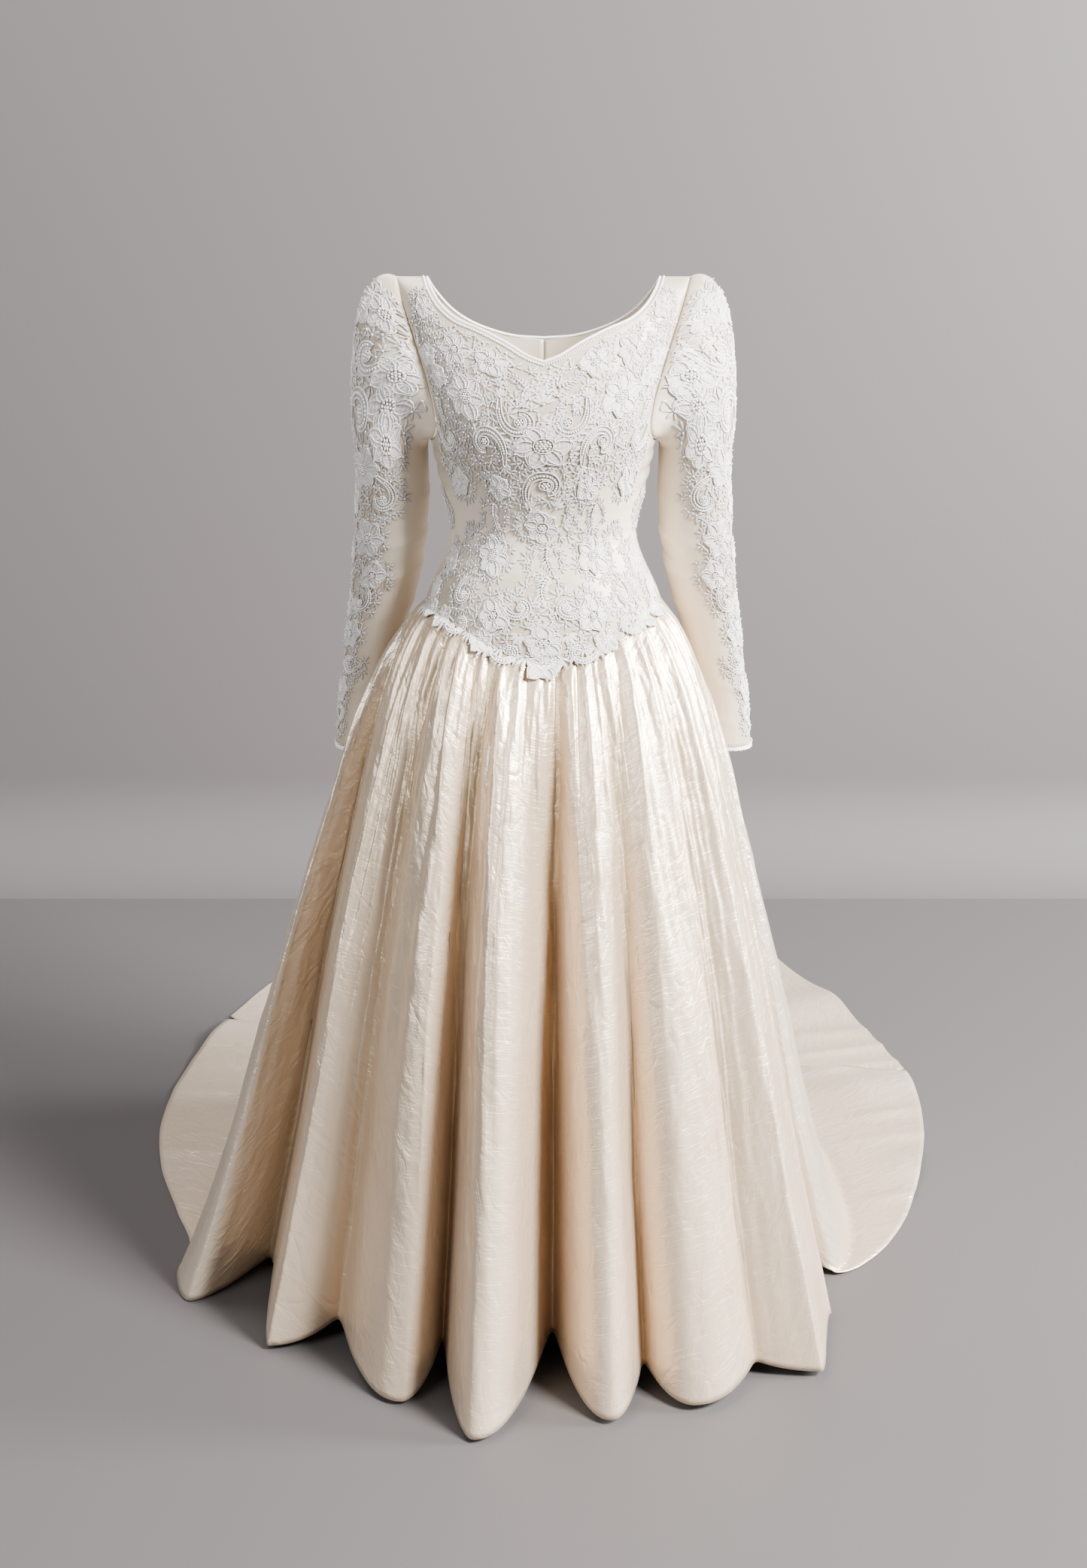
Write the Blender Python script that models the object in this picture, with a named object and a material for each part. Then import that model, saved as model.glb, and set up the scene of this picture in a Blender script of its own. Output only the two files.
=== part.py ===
"""A long-sleeved satin wedding dress with raised lace and a train, worn open and hollow.

Metres, +Z up. The origin is on the shoulder line, where the wearer holds the dress up.
The front faces -Y. Heights in the tables are measured from the floor under the train.
"""

import math
from bisect import bisect_left
from collections import namedtuple

import bmesh
import bpy
import numpy as np
from mathutils import Vector
from mathutils.geometry import delaunay_2d_cdt

# Driving sizes
SHOULDER_HEIGHT = 1.41
SEAM_GAP = 0.0003
BODICE_WALL = 0.0024
SLEEVE_WALL = 0.0026
SKIRT_WALL = 0.0020
SQUARENESS = 0.88
SHOULDER_ROUND = 0.016
LACE_RISE = 0.0020
PANEL_GRID = 0.021
PLAIN_FRONT_GRID = 0.027
PLAIN_BACK_GRID = 0.032
PLAIN_SLEEVE_GRID = 0.022
CLOSEST_POINTS = 0.0036

GATHER_TURN = 8.0
BACK_GATHER_TURN = 13.0
GATHER_DEPTH = 0.0036
SKIRT_SIDE_TURN = 80.0
BASE_HALF_WIDTH = 0.400
BASE_FORWARD = 0.385
FRONT_COLUMNS = 80
TRAIN_STEPS = 2
EDGE_STEP = 2.0
BACK_STEP = 2.5
FLOOR_REACH = 0.25
ROW_FRACTIONS = (0.0, 0.014, 0.04, 0.08, 0.14, 0.22, 0.33, 0.46, 0.60, 0.74, 0.88, 1.0)

BINDING_WIDTH = 0.0045
BINDING_THICKNESS = 0.0034
BUTTON_RADIUS = 0.0055
BUTTON_HEIGHT = 0.0055
BUTTON_TOP = 1.312
BUTTON_SPACING = 0.0305
BUTTON_SEATS = (0.00015, 0.0, 0.00015, 0.00025, 0.00025, 0.0002, 0.0004, 0.0009, 0.0009, 0.00045,
                0.00015, 0.00025)

LACE_EDGE_WALL = 0.0015
LACE_EDGE_REACH = 79.0
LEAF_COUNT = 40
LEAF_SHORT = 0.008
LEAF_LONG = 0.019

# Sections of the bodice, bottom to top
BodyRow = namedtuple("BodyRow", "place height half_width front back")
BODY_ROWS = (
    BodyRow("point", 0.895, 0.172, 0.150, 0.138),
    BodyRow("hip", 0.985, 0.160, 0.134, 0.122),
    BodyRow("waist", 1.090, 0.123, 0.098, 0.086),
    BodyRow("ribs", 1.155, 0.137, 0.112, 0.093),
    BodyRow("bust", 1.225, 0.152, 0.126, 0.101),
    BodyRow("chest", 1.300, 0.170, 0.108, 0.100),
    BodyRow("upper_chest", 1.360, 0.181, 0.076, 0.084),
    BodyRow("collarbone", 1.395, 0.186, 0.042, 0.050),
    BodyRow("shoulder", 1.412, 0.190, 0.0004, 0.0004),
)

# Edges of the bodice panels, as distance from the centre line and height
EdgeRow = namedtuple("EdgeRow", "side height")
FRONT_NECKLINE = (
    EdgeRow(0.0, 1.311), EdgeRow(0.022, 1.319), EdgeRow(0.050, 1.335), EdgeRow(0.082, 1.350),
    EdgeRow(0.112, 1.362), EdgeRow(0.132, 1.378), EdgeRow(0.145, 1.397), EdgeRow(0.152, 1.412),
)
BACK_NECKLINE = (
    EdgeRow(0.0, 1.326), EdgeRow(0.045, 1.330), EdgeRow(0.090, 1.345), EdgeRow(0.122, 1.366),
    EdgeRow(0.143, 1.392), EdgeRow(0.152, 1.412),
)
FRONT_ARMHOLE = (
    EdgeRow(0.1885, 1.412), EdgeRow(0.180, 1.382), EdgeRow(0.167, 1.345), EdgeRow(0.152, 1.300),
    EdgeRow(0.141, 1.260), EdgeRow(0.137, 1.228), EdgeRow(0.143, 1.211), EdgeRow(0.1485, 1.207),
)
BACK_ARMHOLE = (
    EdgeRow(0.1885, 1.412), EdgeRow(0.181, 1.382), EdgeRow(0.170, 1.345), EdgeRow(0.157, 1.300),
    EdgeRow(0.147, 1.260), EdgeRow(0.142, 1.228), EdgeRow(0.145, 1.211), EdgeRow(0.1485, 1.207),
)

# The dropped waist seam, from centre front round to centre back
SeamRow = namedtuple("SeamRow", "turn height")
WAIST_SEAM = (
    SeamRow(0.0, 0.933), SeamRow(18.0, 0.951), SeamRow(38.0, 0.975), SeamRow(60.0, 0.989),
    SeamRow(90.0, 0.993), SeamRow(120.0, 0.984), SeamRow(150.0, 0.967), SeamRow(180.0, 0.950),
)

# Front folds of the skirt, crest and valley in turn, with the hem point of each, and how much
# wider the crests are than the valleys
FOLD_FULLNESS = 0.20
FoldRow = namedtuple("FoldRow", "place turn crest hem_x hem_y hem_height")
FRONT_FOLDS = (
    FoldRow("left_seam", -80.0, 0, -0.3939, -0.0669, 0.018),
    FoldRow("left_fold", -61.0, 1, -0.376, -0.262, 0.006),
    FoldRow("left_valley", -47.0, 0, -0.283, -0.232, 0.028),
    FoldRow("second_fold", -35.0, 1, -0.186, -0.388, 0.004),
    FoldRow("second_valley", -23.0, 0, -0.136, -0.290, 0.030),
    FoldRow("third_fold", -11.0, 1, -0.088, -0.470, 0.004),
    FoldRow("centre_valley", 3.0, 0, 0.012, -0.272, 0.034),
    FoldRow("fourth_fold", 13.5, 1, 0.086, -0.432, 0.006),
    FoldRow("fourth_valley", 23.0, 0, 0.133, -0.335, 0.026),
    FoldRow("fifth_fold", 33.0, 1, 0.196, -0.402, 0.008),
    FoldRow("fifth_valley", 44.0, 0, 0.284, -0.322, 0.020),
    FoldRow("sixth_fold", 57.0, 1, 0.370, -0.326, 0.008),
    FoldRow("right_turn", 69.0, 1, 0.404, -0.190, 0.012),
    FoldRow("right_seam", 80.0, 0, 0.3939, -0.0669, 0.018),
)

# Side and train: hem point, where the cloth lands on the way there, how far it sweeps
TrainRow = namedtuple("TrainRow", "place turn hem_x hem_y land sweep hem_height")
LEFT_TRAIN = (
    TrainRow("seam", 80.0, 0.3939, -0.0669, 1.0, 0.0, 0.018),
    TrainRow("tuck", 86.0, 0.408, -0.046, 1.0, 0.0, 0.012),
    TrainRow("flare_front", 92.0, 0.462, -0.112, 1.0, 0.05, 0.003),
    TrainRow("flare_crest", 98.0, 0.508, -0.138, 1.0, 0.10, 0.0),
    TrainRow("flare_back", 104.0, 0.536, -0.070, 1.0, 0.40, 0.0),
    TrainRow("side", 111.0, 0.532, 0.020, 0.97, 0.70, 0.0),
    TrainRow("side_back", 118.0, 0.566, 0.112, 0.88, 0.95, 0.0),
    TrainRow("spread", 127.0, 0.622, 0.270, 0.76, 1.0, 0.0),
    TrainRow("widest", 136.0, 0.650, 0.440, 0.67, 1.0, 0.0),
    TrainRow("far", 145.0, 0.643, 0.640, 0.60, 1.0, 0.0),
    TrainRow("piecing", 153.0, 0.603, 0.845, 0.53, 1.0, 0.0),
    TrainRow("narrowing", 161.0, 0.528, 1.070, 0.46, 1.0, 0.0),
    TrainRow("turning", 169.0, 0.395, 1.290, 0.40, 1.0, 0.0),
    TrainRow("tail", 175.0, 0.205, 1.440, 0.36, 1.0, 0.0),
    TrainRow("centre_back", 180.0, 0.0, 1.490, 0.34, 1.0, 0.0),
)
RIGHT_TRAIN = (
    TrainRow("seam", 80.0, 0.3939, -0.0669, 1.0, 0.0, 0.018),
    TrainRow("lands", 88.0, 0.436, -0.066, 0.97, 0.15, 0.003),
    TrainRow("side", 98.0, 0.500, -0.006, 0.87, 0.35, 0.0),
    TrainRow("side_back", 108.0, 0.556, 0.092, 0.79, 0.75, 0.0),
    TrainRow("spread", 118.0, 0.606, 0.238, 0.71, 1.0, 0.0),
    TrainRow("widest", 129.0, 0.645, 0.420, 0.65, 1.0, 0.0),
    TrainRow("piecing", 141.0, 0.648, 0.610, 0.60, 1.0, 0.0),
    TrainRow("far", 151.0, 0.605, 0.810, 0.54, 1.0, 0.0),
    TrainRow("narrowing", 160.0, 0.528, 1.040, 0.47, 1.0, 0.0),
    TrainRow("turning", 168.0, 0.405, 1.270, 0.40, 1.0, 0.0),
    TrainRow("tail", 175.0, 0.205, 1.440, 0.36, 1.0, 0.0),
    TrainRow("centre_back", 180.0, 0.0, 1.490, 0.34, 1.0, 0.0),
)

# How the cloth falls: share of the drop left at a share of the way out
FallRow = namedtuple("FallRow", "out hanging swept")
FALL_ROWS = (
    FallRow(0.0, 1.0, 1.0), FallRow(0.07, 0.977, 0.945), FallRow(0.13, 0.950, 0.895),
    FallRow(0.24, 0.880, 0.800), FallRow(0.42, 0.700, 0.590), FallRow(0.60, 0.500, 0.370),
    FallRow(0.79, 0.250, 0.150), FallRow(0.90, 0.120, 0.045), FallRow(1.0, 0.0, 0.0),
)

# Soft folds that run down the hidden back
BackFold = namedtuple("BackFold", "turn depth width")
BACK_FOLDS = (
    BackFold(-166.0, 0.034, 6.5), BackFold(-147.0, 0.028, 6.0), BackFold(-129.0, 0.022, 5.0),
    BackFold(124.0, 0.020, 5.5), BackFold(143.0, 0.030, 6.5), BackFold(162.0, 0.026, 5.5),
    BackFold(180.0, 0.020, 4.5),
)

# Ripples raised in the cloth that lies on the floor, which start a little before it lands
RIPPLE_START = 0.90
RIPPLE_FADE = 0.30
Ripple = namedtuple("Ripple", "start_x start_y end_x end_y width rise")
RIPPLES = (
    Ripple(0.44, 0.50, 0.70, 0.60, 0.060, 0.012),
    Ripple(0.34, 0.84, 0.64, 0.96, 0.070, 0.016),
    Ripple(0.46, 0.22, 0.68, 0.27, 0.055, 0.010),
    Ripple(0.28, 1.06, 0.50, 1.24, 0.070, 0.012),
    Ripple(-0.42, 0.72, -0.68, 0.80, 0.070, 0.009),
    Ripple(-0.30, 1.02, -0.52, 1.20, 0.070, 0.012),
    Ripple(0.06, 0.90, 0.12, 1.46, 0.070, 0.010),
    Ripple(-0.12, 0.94, -0.20, 1.42, 0.065, 0.009),
)

# Sections of the sleeve below the cap
SleeveRow = namedtuple("SleeveRow", "place height out back half_width half_depth")
SLEEVE_ROWS = (
    SleeveRow("upper_arm", 1.190, 0.2000, 0.014, 0.0475, 0.054),
    SleeveRow("mid_arm", 1.130, 0.2010, 0.026, 0.0480, 0.054),
    SleeveRow("elbow", 1.060, 0.2080, 0.043, 0.0485, 0.053),
    SleeveRow("below_elbow", 1.000, 0.2175, 0.062, 0.0450, 0.050),
    SleeveRow("forearm", 0.930, 0.2350, 0.082, 0.0400, 0.045),
    SleeveRow("lower_arm", 0.860, 0.2505, 0.096, 0.0345, 0.039),
    SleeveRow("wrist", 0.800, 0.2625, 0.104, 0.0300, 0.034),
    SleeveRow("cuff", 0.762, 0.2690, 0.106, 0.0275, 0.031),
)
SLEEVE_END = 0.762
SLEEVE_ROUND = 0.00088
SLEEVE_MIDLINE = 35.0
SLEEVE_COLUMNS = 28
SLEEVE_ROWS_LONG = 18
CAP_BASE = 1.190
CAP_TOP = 1.430
CAP_LENGTH = 0.170
CAP_LOW = 0.028
CAP_STAND = 0.015
CAP_SHARES = (0.92, 0.75, 0.52, 0.24)
CROWN_SHARES = (0.84, 0.70, 0.61, 0.45, 0.34)
CAP_PUFF = 0.026
CAP_RISE = 0.020
CAP_GATHERS = 14
CAP_GATHER_DEPTH = 0.0015
CREASE_TURN = 26.0
CREASE_LENGTH = 0.060
CREASE_THINNING = 0.62

# Lace motifs on the front, in distance from the centre line and height
Motif = namedtuple("Motif", "kind side height size turn both")
BODICE_LACE = (
    Motif("rose", 0.000, 1.203, 0.030, 0.0, False),
    Motif("scroll", 0.000, 1.152, 0.024, 200.0, False),
    Motif("rose", 0.000, 1.100, 0.023, 36.0, False),
    Motif("leaf", 0.000, 1.066, 0.034, 270.0, False),
    Motif("leaf", 0.000, 1.030, 0.030, 270.0, False),
    Motif("rose", 0.000, 0.960, 0.017, 0.0, False),
    Motif("scroll", 0.024, 1.262, 0.019, 60.0, True),
    Motif("rose", 0.074, 1.236, 0.024, 10.0, True),
    Motif("scroll", 0.052, 1.188, 0.021, 150.0, True),
    Motif("scroll", 0.092, 1.182, 0.022, 20.0, True),
    Motif("rose", 0.090, 1.295, 0.024, 20.0, True),
    Motif("rose", 0.132, 1.320, 0.019, 50.0, True),
    Motif("rose", 0.160, 1.372, 0.015, 0.0, True),
    Motif("leaf", 0.050, 1.302, 0.030, 205.0, True),
    Motif("leaf", 0.112, 1.265, 0.030, 300.0, True),
    Motif("leaf", 0.150, 1.346, 0.024, 75.0, True),
    Motif("rose", 0.120, 1.215, 0.020, 0.0, True),
    Motif("leaf", 0.108, 1.146, 0.032, 280.0, True),
    Motif("leaf", 0.045, 1.142, 0.028, 320.0, True),
    Motif("leaf", 0.024, 1.090, 0.026, 330.0, True),
    Motif("rose", 0.058, 1.066, 0.025, 20.0, True),
    Motif("leaf", 0.090, 1.090, 0.030, 65.0, True),
    Motif("leaf", 0.098, 1.050, 0.030, 300.0, True),
    Motif("scroll", 0.098, 1.008, 0.024, 120.0, True),
    Motif("rose", 0.056, 0.998, 0.021, 0.0, True),
    Motif("scroll", 0.026, 0.984, 0.018, 300.0, True),
    Motif("leaf", 0.016, 1.006, 0.026, 250.0, True),
    Motif("leaf", 0.074, 0.984, 0.020, 290.0, True),
    Motif("leaf", 0.128, 1.022, 0.024, 300.0, True),
    Motif("leaf", 0.080, 1.034, 0.022, 200.0, True),
)

# Lace motifs on a sleeve, in distance round from its front-outer line and height
SLEEVE_LACE = (
    Motif("rose", 0.000, 1.375, 0.020, 0.0, False),
    Motif("leaf", 0.040, 1.345, 0.028, 280.0, False),
    Motif("leaf", -0.038, 1.345, 0.028, 260.0, False),
    Motif("rose", 0.026, 1.300, 0.020, 30.0, False),
    Motif("scroll", -0.024, 1.292, 0.020, 80.0, False),
    Motif("leaf", 0.000, 1.255, 0.030, 270.0, False),
    Motif("rose", 0.030, 1.225, 0.021, 0.0, False),
    Motif("scroll", -0.026, 1.210, 0.021, 200.0, False),
    Motif("leaf", 0.010, 1.175, 0.030, 300.0, False),
    Motif("scroll", 0.026, 1.140, 0.021, 20.0, False),
    Motif("rose", -0.022, 1.130, 0.020, 0.0, False),
    Motif("leaf", 0.004, 1.090, 0.030, 250.0, False),
    Motif("rose", 0.026, 1.060, 0.021, 30.0, False),
    Motif("scroll", -0.020, 1.045, 0.020, 120.0, False),
    Motif("leaf", 0.012, 1.010, 0.028, 290.0, False),
    Motif("scroll", 0.016, 0.975, 0.018, 10.0, False),
    Motif("leaf", -0.018, 0.960, 0.026, 255.0, False),
    Motif("rose", -0.004, 0.920, 0.017, 0.0, False),
    Motif("leaf", 0.014, 0.884, 0.024, 285.0, False),
    Motif("rose", 0.000, 0.842, 0.015, 20.0, False),
    Motif("leaf", -0.010, 0.806, 0.022, 260.0, False),
)
ROSE_PETALS = 5
ROSE_SIDES = 10
SCROLL_STEPS = 8
SCROLL_TURNS = 1.2
SCROLL_BAND = 0.0046

# Colours, linear
IVORY_SATIN = (0.83, 0.74, 0.61)
CREAM_SATIN = (0.84, 0.78, 0.68)
WHITE_LACE = (0.86, 0.83, 0.78)
PEARL = (0.88, 0.85, 0.80)


def clear_scene():
    """Remove every object that the new scene came with."""
    for item in list(bpy.data.objects):
        bpy.data.objects.remove(item, do_unlink=True)


def finish_material(name, colour, roughness):
    """Make a plain cloth material."""
    material = bpy.data.materials.new(name)
    material.use_nodes = True
    shader = material.node_tree.nodes["Principled BSDF"]
    shader.inputs["Base Color"].default_value = (*colour, 1.0)
    shader.inputs["Roughness"].default_value = roughness
    shader.inputs["Metallic"].default_value = 0.0
    return material


SLOPES = {}


def smooth_read(keys, values, at):
    """Read a table at a place, on a smooth curve through its rows."""
    name = (tuple(keys), tuple(values))
    if name not in SLOPES:
        SLOPES[name] = np.gradient(np.array(values, float), np.array(keys, float)).tolist()
    slopes = SLOPES[name]
    index = min(max(bisect_left(name[0], at) - 1, 0), len(keys) - 2)
    width = keys[index + 1] - keys[index]
    t = min(max((at - keys[index]) / width, 0.0), 1.0)
    start, end = values[index], values[index + 1]
    rise, leave = slopes[index] * width, slopes[index + 1] * width
    return ((2 * t**3 - 3 * t**2 + 1) * start + (t**3 - 2 * t**2 + t) * rise
            + (3 * t**2 - 2 * t**3) * end + (t**3 - t**2) * leave)


def signed_power(value, power):
    """Raise a number to a power and keep its sign."""
    return math.copysign(abs(value) ** power, value)


def surface_normal(surface, u, v, step_u, step_v):
    """Return the outward normal of a surface at a place."""
    across = surface(u + step_u, v) - surface(u - step_u, v)
    along = surface(u, v + step_v) - surface(u, v - step_v)
    return across.cross(along).normalized()


def add_solid(name, points, faces, material):
    """Make one closed object from its points and faces."""
    mesh = bpy.data.meshes.new(name)
    mesh.from_pydata([tuple(point) for point in points], [], faces)
    work = bmesh.new()
    work.from_mesh(mesh)
    bmesh.ops.remove_doubles(work, verts=work.verts, dist=1e-6)
    bmesh.ops.triangulate(work, faces=work.faces)
    work.to_mesh(mesh)
    work.free()
    mesh.materials.append(material)
    item = bpy.data.objects.new(name, mesh)
    bpy.context.scene.collection.objects.link(item)
    mesh.shade_smooth()
    mesh.set_sharp_from_angle(angle=math.radians(50.0))
    return item


# Body sections

def section_rises():
    """Return how far up the front line each body section lies."""
    rises = [0.0]
    for lower, upper in zip(BODY_ROWS, BODY_ROWS[1:]):
        rises.append(rises[-1] + math.hypot(upper.height - lower.height, upper.front - lower.front))
    return rises


RISES = section_rises()


def body_size(rise, field):
    """Read one size of the body at a rise."""
    return smooth_read(RISES, [getattr(row, field) for row in BODY_ROWS], rise)


def rise_of(height):
    """Return the rise at which the body has a height."""
    rises = np.linspace(RISES[0], RISES[-1], 400)
    heights = [body_size(rise, "height") for rise in rises]
    return float(np.interp(height, heights, rises))


RISE_TABLE = [(height, rise_of(height)) for height in np.linspace(0.895, 1.412, 130)]


def quick_rise(height):
    """Return the rise at a height from the table made once."""
    return float(np.interp(height, [row[0] for row in RISE_TABLE], [row[1] for row in RISE_TABLE]))


def body_surface(turn, rise):
    """Return a point of the body's outer surface; turn 0 is centre front, 180 centre back."""
    angle = math.radians(turn)
    forward = math.cos(angle)
    depth = body_size(rise, "front") if forward > 0 else body_size(rise, "back")
    x = body_size(rise, "half_width") * signed_power(math.sin(angle), SQUARENESS)
    y = -depth * signed_power(forward, SQUARENESS)
    return Vector((x, y, body_size(rise, "height") - SHOULDER_HEIGHT))


def body_normal(turn, rise):
    """Return the outward direction of the body at a place; on the shoulder it points up."""
    normal = surface_normal(body_surface, turn, min(rise, RISES[-1] - 0.002), 0.5, 0.001)
    share = min(max((rise - RISES[-1] + SHOULDER_ROUND) / SHOULDER_ROUND, 0.0), 1.0) ** 2
    return (normal * (1.0 - share) + Vector((0.0, 0.0, 1.0)) * share).normalized()


def turn_of(side, height, back):
    """Return the turn at which the body is a distance from its centre line."""
    share = min(abs(side) / body_size(quick_rise(height), "half_width"), 1.0)
    turn = math.degrees(math.asin(share ** (1.0 / SQUARENESS)))
    return 180.0 - turn if back else turn


TURN_LENGTH = 0.0027


def to_plane(turn, rise):
    """Return a flat place for a turn and rise, in metres."""
    return (turn * TURN_LENGTH, rise)


def edge_line(rows, back, steps):
    """Return flat places along an edge table, on a smooth curve."""
    keys = list(range(len(rows)))
    line = []
    for index in range(steps + 1):
        at = index * (len(rows) - 1) / steps
        side = smooth_read(keys, [row.side for row in rows], at)
        height = smooth_read(keys, [row.height for row in rows], at)
        line.append(to_plane(turn_of(side, height, back), quick_rise(height)))
    return line


def seam_height(turn):
    """Return the height of the dropped waist seam at a turn."""
    return smooth_read([row.turn for row in WAIST_SEAM], [row.height for row in WAIST_SEAM],
                       min(abs(turn), 180.0))


# Flat outlines and their meshes

def inside(outline, place):
    """Tell whether a flat place is inside an outline."""
    x, y = place
    found = False
    for (ax, ay), (bx, by) in zip(outline, outline[1:] + outline[:1]):
        if (ay > y) != (by > y) and x < (bx - ax) * (y - ay) / (by - ay) + ax:
            found = not found
    return found


def distance_to_line(line, place, closed):
    """Return how far a flat place is from a line of points."""
    points = np.array(line, float)
    ends = np.roll(points, -1, axis=0) if closed else points[1:]
    starts = points if closed else points[:-1]
    spans = ends - starts
    lengths = np.maximum((spans**2).sum(axis=1), 1e-12)
    shares = np.clip(((np.array(place) - starts) * spans).sum(axis=1) / lengths, 0.0, 1.0)
    nearest = starts + spans * shares[:, None]
    return float(np.sqrt(((nearest - np.array(place)) ** 2).sum(axis=1)).min())


def grid_places(outline, spacing):
    """Return staggered flat places that fill an outline."""
    points = np.array(outline)
    low, high = points.min(axis=0), points.max(axis=0)
    places = []
    for row, y in enumerate(np.arange(low[1], high[1], spacing)):
        for x in np.arange(low[0] + spacing * 0.5 * (row % 2), high[0], spacing):
            if inside(outline, (x, y)) and distance_to_line(outline, (x, y), True) > spacing * 0.45:
                places.append((float(x), float(y)))
    return places


def keep_apart(outline, wanted, spare):
    """Keep wanted places first, then spare ones, none too close to another or to the edge."""
    kept = []
    for group, room in ((wanted, CLOSEST_POINTS), (spare, PANEL_GRID * 0.5)):
        for place in group:
            if not inside(outline, place) or distance_to_line(outline, place, True) < room:
                continue
            if kept and np.hypot(*(np.array(kept) - place).T).min() < room:
                continue
            kept.append(place)
    return kept


def flat_triangles(outline, places):
    """Triangulate an outline with places inside it."""
    flat = [Vector(place) for place in list(outline) + list(places)]
    count = len(outline)
    edges = [(index, (index + 1) % count) for index in range(count)]
    _, _, faces, sources, _, _ = delaunay_2d_cdt(flat, edges, [], 1, 1e-7)
    return [tuple(sources[corner][0] for corner in face) for face in faces]


def wall_from_outline(name, outline, outer_places, inner_places, outer_point, inner_point, material,
                      open_edges=()):
    """Make a closed wall: a detailed outer face, a plain inner face and the rim between them."""
    outer = [outer_point(place) for place in list(outline) + list(outer_places)]
    inner = [inner_point(place) for place in list(outline) + list(inner_places)]
    start = len(outer)
    faces = flat_triangles(outline, outer_places)
    for face in flat_triangles(outline, inner_places):
        faces.append(tuple(start + corner for corner in reversed(face)))
    count = len(outline)
    for index in range(count):
        after = (index + 1) % count
        if index not in open_edges:
            faces.append((after, index, start + index, start + after))
    return add_solid(name, outer + inner, faces, material)


# Lace motifs

def rose_places(motif, centre):
    """Return the flat places that a rose needs."""
    places = [centre]
    for share, sides, shift in ((0.45, ROSE_PETALS, 0.5), (0.82, ROSE_SIDES, 0.0), (1.02, ROSE_SIDES, 0.0)):
        for index in range(sides):
            angle = math.radians(motif.turn) + (index + shift) * 2.0 * math.pi / sides
            reach = motif.size * share * (1.0 + 0.10 * math.cos(ROSE_PETALS * angle))
            places.append((centre[0] + reach * math.cos(angle), centre[1] + reach * math.sin(angle)))
    return places


def scroll_line(motif, centre, hand):
    """Return the middle line of a scroll."""
    line = []
    for index in range(SCROLL_STEPS + 1):
        share = index / SCROLL_STEPS
        angle = math.radians(motif.turn) + share * SCROLL_TURNS * 2.0 * math.pi
        reach = motif.size * (0.22 + 0.78 * share)
        line.append((centre[0] + hand * reach * math.cos(angle), centre[1] + reach * math.sin(angle)))
    return line


def leaf_line(motif, centre, hand):
    """Return the vein of a leaf."""
    angle = math.radians(motif.turn)
    step = (hand * math.cos(angle) * motif.size * 0.5, math.sin(angle) * motif.size * 0.5)
    return [(centre[0] - step[0], centre[1] - step[1]), (centre[0] + step[0], centre[1] + step[1])]


def band_places(line, half_width):
    """Return the places of a narrow raised band: its middle and both sides."""
    places = []
    points = np.array(line)
    for index, point in enumerate(points):
        before, after = points[max(index - 1, 0)], points[min(index + 1, len(points) - 1)]
        along = (after - before) / max(np.hypot(*(after - before)), 1e-9)
        across = np.array((-along[1], along[0])) * half_width
        places.extend([tuple(point), tuple(point + across), tuple(point - across)])
    return places


def leaf_places(line, half_width):
    """Return the places of a leaf: its vein and its two sides."""
    start, end = np.array(line[0]), np.array(line[1])
    along = (end - start) / np.hypot(*(end - start))
    across = np.array((-along[1], along[0])) * half_width
    middle = (start + end) * 0.5
    return [tuple(start), tuple(end), tuple(middle), tuple(middle + across), tuple(middle - across)]


def spread_motifs(motifs, flatten):
    """Return each motif with its flat centre and hand, mirrored ones too."""
    spread = []
    for motif in motifs:
        spread.append((motif, flatten(motif.side, motif.height), 1.0))
        if motif.both:
            spread.append((motif, flatten(-motif.side, motif.height), -1.0))
    return spread


def motif_places(spread):
    """Return every flat place that the motifs need."""
    places = []
    for motif, centre, hand in spread:
        if motif.kind == "rose":
            places.extend(rose_places(motif, centre))
        elif motif.kind == "scroll":
            places.extend(band_places(scroll_line(motif, centre, hand), SCROLL_BAND))
        else:
            places.extend(leaf_places(leaf_line(motif, centre, hand), motif.size * 0.26))
    return places


def lace_rise(spread, place):
    """Return how far the lace stands out at a flat place."""
    best = 0.0
    for motif, centre, hand in spread:
        away = math.hypot(place[0] - centre[0], place[1] - centre[1])
        if away > motif.size * 1.4:
            continue
        if motif.kind == "rose":
            angle = math.atan2(place[1] - centre[1], place[0] - centre[0])
            edge = motif.size * (1.0 + 0.10 * math.cos(ROSE_PETALS * angle))
            share = min(max((edge - away) / (0.18 * edge), 0.0), 1.0)
            dip = 0.45 * math.exp(-((away / edge - 0.45) / 0.14) ** 2)
            best = max(best, share * (1.25 - dip))
        elif motif.kind == "scroll":
            gap = distance_to_line(scroll_line(motif, centre, hand), place, False)
            best = max(best, 1.1 * (1.0 - min(gap / SCROLL_BAND, 1.0) ** 2))
        else:
            gap = distance_to_line(leaf_line(motif, centre, hand), place, False)
            best = max(best, 0.9 * (1.0 - min(gap / (motif.size * 0.26), 1.0) ** 2))
    return best * LACE_RISE


# Bodice

def side_line(height_low, height_high, turn, steps):
    """Return flat places up a side seam."""
    low, high = quick_rise(height_low), quick_rise(height_high)
    return [to_plane(turn, low + (high - low) * index / steps) for index in range(steps + 1)]


def waist_line(turn_from, turn_to, steps):
    """Return flat places along the waist seam."""
    line = []
    for index in range(steps + 1):
        turn = turn_from + (turn_to - turn_from) * index / steps
        line.append(to_plane(turn, quick_rise(seam_height(turn))))
    return line


def drop_repeats(line):
    """Drop places that repeat the one before."""
    kept = []
    for place in line:
        if not kept or math.dist(place, kept[-1]) > 0.0008:
            kept.append(place)
    if math.dist(kept[0], kept[-1]) < 0.0008:
        kept.pop()
    return kept


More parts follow.
